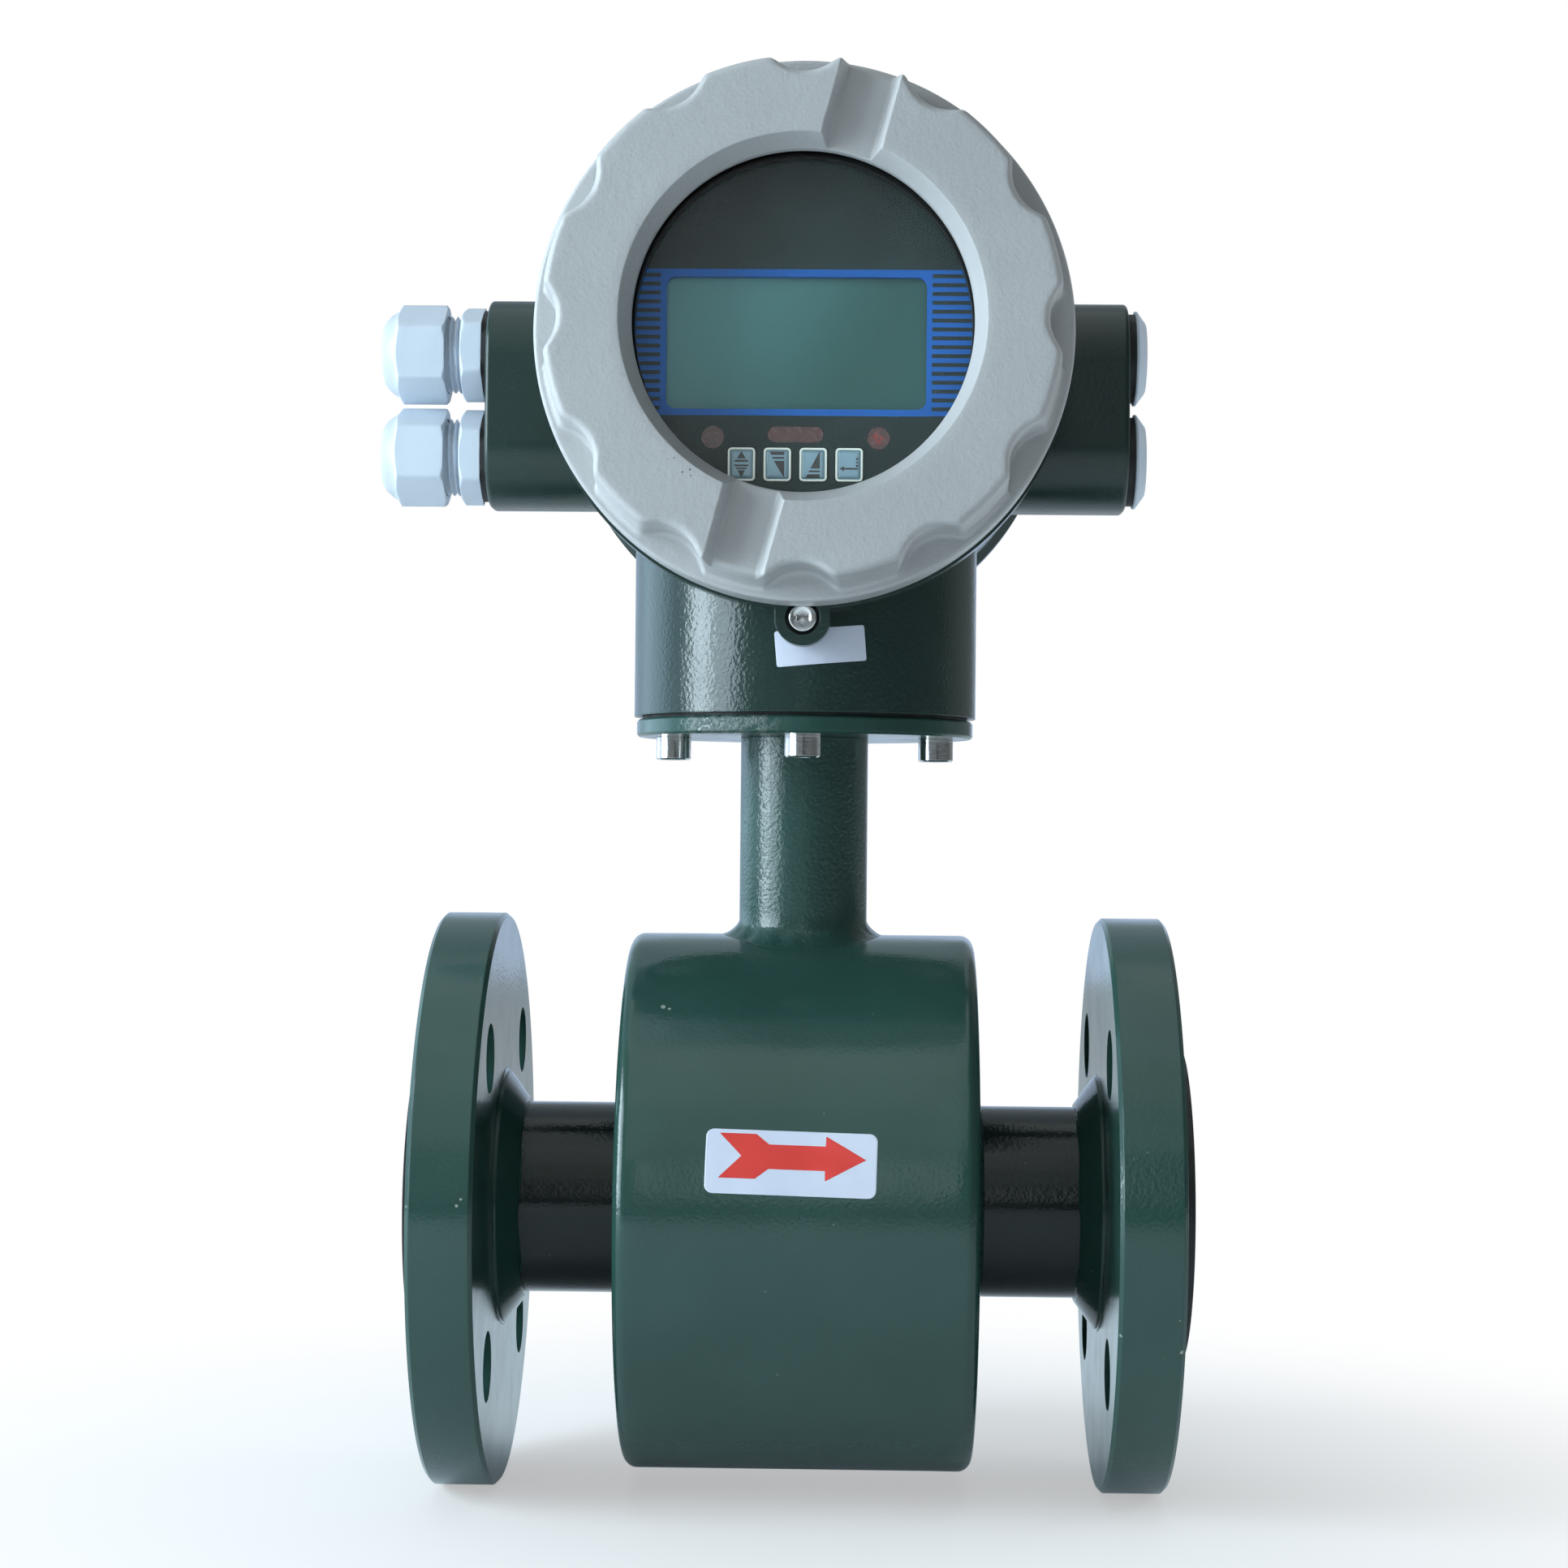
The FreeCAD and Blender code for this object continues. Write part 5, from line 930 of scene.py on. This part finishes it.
def band(lower, upper, height, centre):
    """A sign between two edge lines, laid on the key's dome, its rim tucked down into it."""
    lower, upper = np.array(lower, float) * SIGN_SCALE, np.array(upper, float) * SIGN_SCALE
    middle = np.linspace(0.0, 1.0, 7)[:, None, None]
    across = np.linspace(0.0, 1.0, 5)[:, None]
    lower, upper = (line[0] + across * (line[1] - line[0]) for line in (lower, upper))
    flat = lower + middle * (upper - lower)
    rows = np.concatenate([flat[:1], flat, flat[-1:]])
    inset = (KEY_SIZE / 2 - np.abs(rows)).min(axis=-1)
    lift = np.full(len(rows), 0.03)
    lift[[0, -1]] -= 0.12
    depth = height - key_dome(inset) + lift[:, None]
    return sheet(np.stack([centre[0] + rows[..., 0], -depth, centre[2] + rows[..., 1]], axis=-1))


SIGNS = {
    "select_key": [
        ([(-0.95, 1.05), (0.95, 1.05)], [(-0.02, 2.45), (0.02, 2.45)]),
        ([(-1.6, 0.42), (1.6, 0.42)], [(-1.25, 0.82), (1.25, 0.82)]),
        ([(-1.35, -0.42), (1.35, -0.42)], [(-1.6, -0.08), (1.6, -0.08)]),
        ([(-1.05, -0.95), (1.05, -0.95)], [(-1.2, -0.66), (1.2, -0.66)]),
        ([(-0.05, -2.45), (0.05, -2.45)], [(-0.8, -1.15), (0.8, -1.15)]),
    ],
    "down_key": [
        ([(-1.25, 1.75), (1.5, 1.75)], [(-1.6, 2.4), (1.5, 2.4)]),
        ([(-0.95, 1.05), (1.5, 1.05)], [(-1.12, 1.4), (1.5, 1.4)]),
        ([(1.42, -2.5), (1.5, -2.5)], [(-0.75, 0.65), (1.5, 0.65)]),
    ],
    "up_key": [
        ([(-0.6, -0.75), (1.4, -0.75)], [(1.3, 2.45), (1.4, 2.45)]),
        ([(-1.0, -1.45), (1.4, -1.45)], [(-0.8, -1.1), (1.4, -1.1)]),
        ([(-1.6, -2.5), (1.4, -2.5)], [(-1.2, -1.8), (1.4, -1.8)]),
    ],
    "enter_key": [
        ([(-1.1, -0.90), (1.9, -0.90)], [(-1.1, -0.58), (1.9, -0.58)]),
        ([(-2.0, -0.76), (-1.1, -1.25)], [(-2.0, -0.72), (-1.1, -0.23)]),
        ([(1.45, -0.4), (1.9, -0.4)], [(1.45, 0.0), (1.9, 0.0)]),
        ([(1.45, 0.3), (1.9, 0.3)], [(1.45, 0.6), (1.9, 0.6)]),
        ([(1.45, 0.9), (1.9, 0.9)], [(1.45, 1.3), (1.9, 1.3)]),
    ],
}
for key_name, strokes in SIGNS.items():
    key_low, key_high = extent(key_name)
    key_centre = centre_of(key_name)
    cap, cap_inset = key_points(key_centre, -key_high[1], -key_low[1])
    piece(f"{key_name}_cap", [capped(cap)], key_finish, key_name, [key_name], cap_inset)
    sign = [band(lower, upper, -key_low[1], key_centre) for lower, upper in strokes]
    piece(f"{key_name}_sign", sign, icon_ink, key_name)


def on_drum(across, along_arc, lift):
    """Wraps flat places onto the drum's front: the height becomes an angle about the pipe."""
    return turned(DRUM_R + lift, along_arc / DRUM_R, -across, ORIGIN, "inlet")


def on_neck(along_arc, height, lift):
    """Wraps flat places onto the neck's front: the width becomes an angle about the stem."""
    return turned(NECK_R + lift, along_arc / NECK_R - TURN / 4, height, ORIGIN, "up")


def tilted(places, centre, angle):
    """Turns flat places by an angle, counter-clockwise, and moves them to a centre."""
    cosine, sine = math.cos(angle), math.sin(angle)
    x, y = places[..., 0], places[..., 1]
    return centre[0] + cosine * x - sine * y, centre[1] + sine * x + cosine * y


def label_sheet(width, height, corner):
    """Flat places of a round-cornered label and their lift; its outermost rows and columns are tucked in.

    A row's half width is the full one less what the corner's circle takes at that height.
    """
    spread = np.concatenate([[-1.0], -np.cos(np.linspace(0.0, math.pi, 31)), [1.0]])
    up = spread * height / 2
    beyond = np.maximum(np.abs(up) - height / 2 + corner, 0.0)
    half = width / 2 - corner + np.sqrt(corner ** 2 - beyond ** 2)
    flat = np.stack(np.broadcast_arrays(spread * half[:, None], up[:, None]), axis=-1)
    rim = np.full(len(spread), 0.14)
    rim[[0, 1, -2, -1]] = [-0.2, 0.08, 0.08, -0.2]
    return flat, np.minimum(rim[:, None], rim)


LABEL_CENTRE = (-1.3, 16.5)
LABEL_TILT = math.radians(-1.5)
flat_label, label_lift = label_sheet(41.9, 15.8, 2.0)
flow_label = on_drum(*tilted(flat_label, LABEL_CENTRE, LABEL_TILT), label_lift)
piece("flow_label", [sheet(flow_label)], label_film, "meter")


def arrow_points():
    """The flow arrow: a strip whose half width follows its length, with a swept tail and a broad head."""
    stations = np.array([-12.2, -8.7, -5.5, 1.5, 8.3, 8.35, 13.3, 18.2])
    widths = np.array([5.5, 5.5, 3.0, 3.0, 3.0, 5.5, 2.75, 0.03])
    sweep = np.array([5.5, 0.0, 0.0, 0.0, 0.0, 0.0, 0.0, 0.0])
    share = np.linspace(-1.0, 1.0, 9)[:, None]
    flat = np.stack([stations - sweep * np.abs(share), share * widths + 1.4], axis=-1)
    return on_drum(*tilted(flat, LABEL_CENTRE, LABEL_TILT), 0.18)


piece("flow_arrow", [sheet(arrow_points())], arrow_ink, "meter")

STICKER_CENTRE = (4.6, 143.9)
STICKER_TILT = math.radians(5.0)
flat_sticker, sticker_lift = label_sheet(23.0, 9.0, 0.6)
neck_label = on_neck(*tilted(flat_sticker, STICKER_CENTRE, STICKER_TILT), sticker_lift)
piece("neck_label", [sheet(neck_label)], label_film, "meter")


# Studio

# Where a patch of the room lies across X or Y: the steps from none to full that bound it
FRONT = (0.1, -0.2)
BEHIND = (-0.2, 0.1)
NARROW = ((0.08, 0.05), (-0.08, -0.05), FRONT)
BROAD = ((0.3, 0.16), (-0.3, -0.16), FRONT)
COOL = (0.90, 0.97, 1.0)
BELOW = (-2.0, -1.5)
ABOVE = (2.0, 3.0)

# The room as pale patches: tint, strength, the sines of the heights where it starts, is full, fades
# and ends, and its bounds to the right, to the left and in depth
ROOM = {
    "front_card": ((0.86, 0.97, 1.0), 0.95, (0.06, 0.14, 0.36, 0.44), NARROW),
    "low_front": (COOL, 0.26, (0.00, 0.06, 0.90, 0.96), ((0.15, 0.02), None, FRONT)),
    "middle_front": ((0.85, 1.0, 0.98), 0.55, (0.36, 0.48, 0.66, 0.76), BROAD),
    "high_front": ((0.90, 1.0, 1.0), 0.75, (0.66, 0.76, 0.86, 0.94), BROAD),
    "overhead": ((0.88, 0.97, 1.0), 1.00, (0.86, 0.94, *ABOVE), ((0.5, 0.2), None, None)),
    "right_side": (COOL, 0.10, (*BELOW, 0.90, 0.96), ((0.1, 0.4), None, (0.5, 0.2))),
    "right_behind": (COOL, 0.25, (*BELOW, 0.90, 0.96), ((0.1, 0.4), None, (0.2, 0.5))),
    "low_behind": ((0.60, 0.77, 1.0), 1.05, (*BELOW, 0.25, 0.45), ((0.45, 0.2), None, BEHIND)),
    "left_wall": ((0.58, 0.83, 1.0), 1.50, (*BELOW, 0.40, 0.60), (None, (-0.55, -0.75), (0.15, 0.35))),
    "high_behind": ((0.74, 0.90, 1.0), 0.55, (0.25, 0.45, 0.86, 0.94), ((0.45, 0.2), None, BEHIND)),
}


def studio_world():
    """The room's patches added together; each is as strong as its place in height, X and Y allows.

    What the camera sees directly, also through the glass, is plain white.
    """
    world = bpy.data.worlds.new("studio")
    bpy.context.scene.world = world
    world.use_nodes = True
    sky = Nodes(world.node_tree)
    sky.tree.nodes.remove(sky.tree.nodes["Background"])

    def shine(tint, strength):
        return sky.node("Background", {"Color": tint, "Strength": strength}).outputs["Background"]

    direction = sky.node("TexCoord").outputs["Generated"]
    x, y, z = sky.node("SeparateXYZ", {"Vector": direction}).outputs
    room = shine((0.0, 0.0, 0.0), 0.0)
    for tint, strength, (start, full, fade, end), (right, left, depth) in ROOM.values():
        share = sky.both(sky.ramp(z, start, full), sky.ramp(z, end, fade))
        for value, edge in ((x, right), (x, left), (y, depth)):
            if edge is not None:
                share = sky.both(share, sky.ramp(value, *edge))
        patch = shine(tint, sky.both(share, strength))
        room = sky.node("AddShader", {0: room, 1: patch}).outputs["Shader"]
    ray = sky.node("LightPath").outputs
    seen = sky.calc("MAXIMUM", ray["Is Camera Ray"], ray["Is Transmission Ray"])
    sky.show(sky.blend(seen, room, shine((1.0, 1.0, 1.0), 1.0)), "World Output")


def floor_finish():
    """A pale floor that turns to plain white for the camera away from the object, keeping its shadow.

    Gloss on the object mirrors it as a sheet in cool daylight.
    """
    finish = Finish("pale_floor", Roughness=0.9, Specular_IOR_Level=0.1)
    finish.set(Base_Color=finish.mix(finish.noise(60.0), (0.86, 0.87, 0.88), (0.88, 0.89, 0.90)))
    far = finish.node("VectorMath", {0: finish.place}, operation="LENGTH").outputs["Value"]
    ray = finish.node("LightPath").outputs

    def seen_as(surface, tint, share):
        lit = finish.node("Emission", {"Color": tint, "Strength": 1.0}).outputs["Emission"]
        return finish.blend(share, surface, lit)

    mirrored = finish.both(finish.ramp(far, 0.08, 0.20, 0.05, 0.6), finish.ramp(far, 0.31, 0.38, 1.0, 0.08))
    away = finish.ramp(far, 0.12, 0.34, 0.45, 1.0)
    daylight = finish.both(mirrored, ray["Is Glossy Ray"])
    surface = seen_as(finish.shader.outputs["BSDF"], (0.66, 0.86, 1.0), daylight)
    finish.show(seen_as(surface, (1.0, 1.0, 1.0), finish.both(away, ray["Is Camera Ray"])))
    return finish.material


def floor():
    """A level square under the object, as a grid in metres."""
    reach, count = 3.0, 9
    x, y = np.meshgrid(*[np.linspace(-reach, reach, count)] * 2)
    points = np.stack([x, y, np.full_like(x, cad_box[0][2])], axis=-1).reshape(-1, 3)
    mesh = bpy.data.meshes.new("floor")
    mesh.from_pydata(points, [], grid_faces(count, count, False, False)[:, ::-1].tolist())
    mesh.materials.append(floor_finish())
    plane = bpy.data.objects.new("floor", mesh)
    bpy.context.scene.collection.objects.link(plane)


# Soft lights: tint, watts, place and size in metres, and whether gloss mirrors them
LAMPS = {
    "left_window": ((0.74, 0.90, 1.0), 22.0, (-1.33, -0.42, 0.48), (0.44, 1.0), True),
    "front_window": ((0.74, 0.90, 1.0), 9.7, (-1.13, -0.85, 0.48), (0.38, 1.0), True),
    "right_bounce": (COOL, 6.5, (1.27, 0.52, 0.50), (0.9, 1.0), False),
}
LAMP_AIM = (0.0, 0.0, 0.14)


def soft_light(name, tint, watts, place, size, mirrored):
    """A rectangular soft light, turned to face the aim."""
    data = bpy.data.lights.new(name, "AREA")
    data.shape = "RECTANGLE"
    data.size, data.size_y = size
    data.energy = watts
    data.color = tint
    lamp = bpy.data.objects.new(name, data)
    bpy.context.scene.collection.objects.link(lamp)
    lamp.location = place
    lamp.visible_glossy = mirrored
    away = np.array(place) - np.array(LAMP_AIM)
    tilt = math.acos(away[2] / np.linalg.norm(away))
    lamp.rotation_euler = Euler((tilt, 0.0, math.atan2(away[1], away[0]) + TURN / 4))


studio_world()
floor()
for lamp_name, settings in LAMPS.items():
    soft_light(lamp_name, *settings)

# Camera: the photo's place, its slight turn to the left and its slight roll
camera_data = bpy.data.cameras.new("photo_camera")
camera_data.sensor_width = 36.0
camera_data.lens = 72.3
camera = bpy.data.objects.new("photo_camera", camera_data)
bpy.context.scene.collection.objects.link(camera)
camera.location = (0.013, -0.8358, 0.0954)
camera.rotation_euler = Euler((math.radians(90.99), math.radians(-0.53), math.radians(1.25)), "XYZ")
bpy.context.scene.camera = camera
bpy.context.scene.view_settings.view_transform = "Standard"
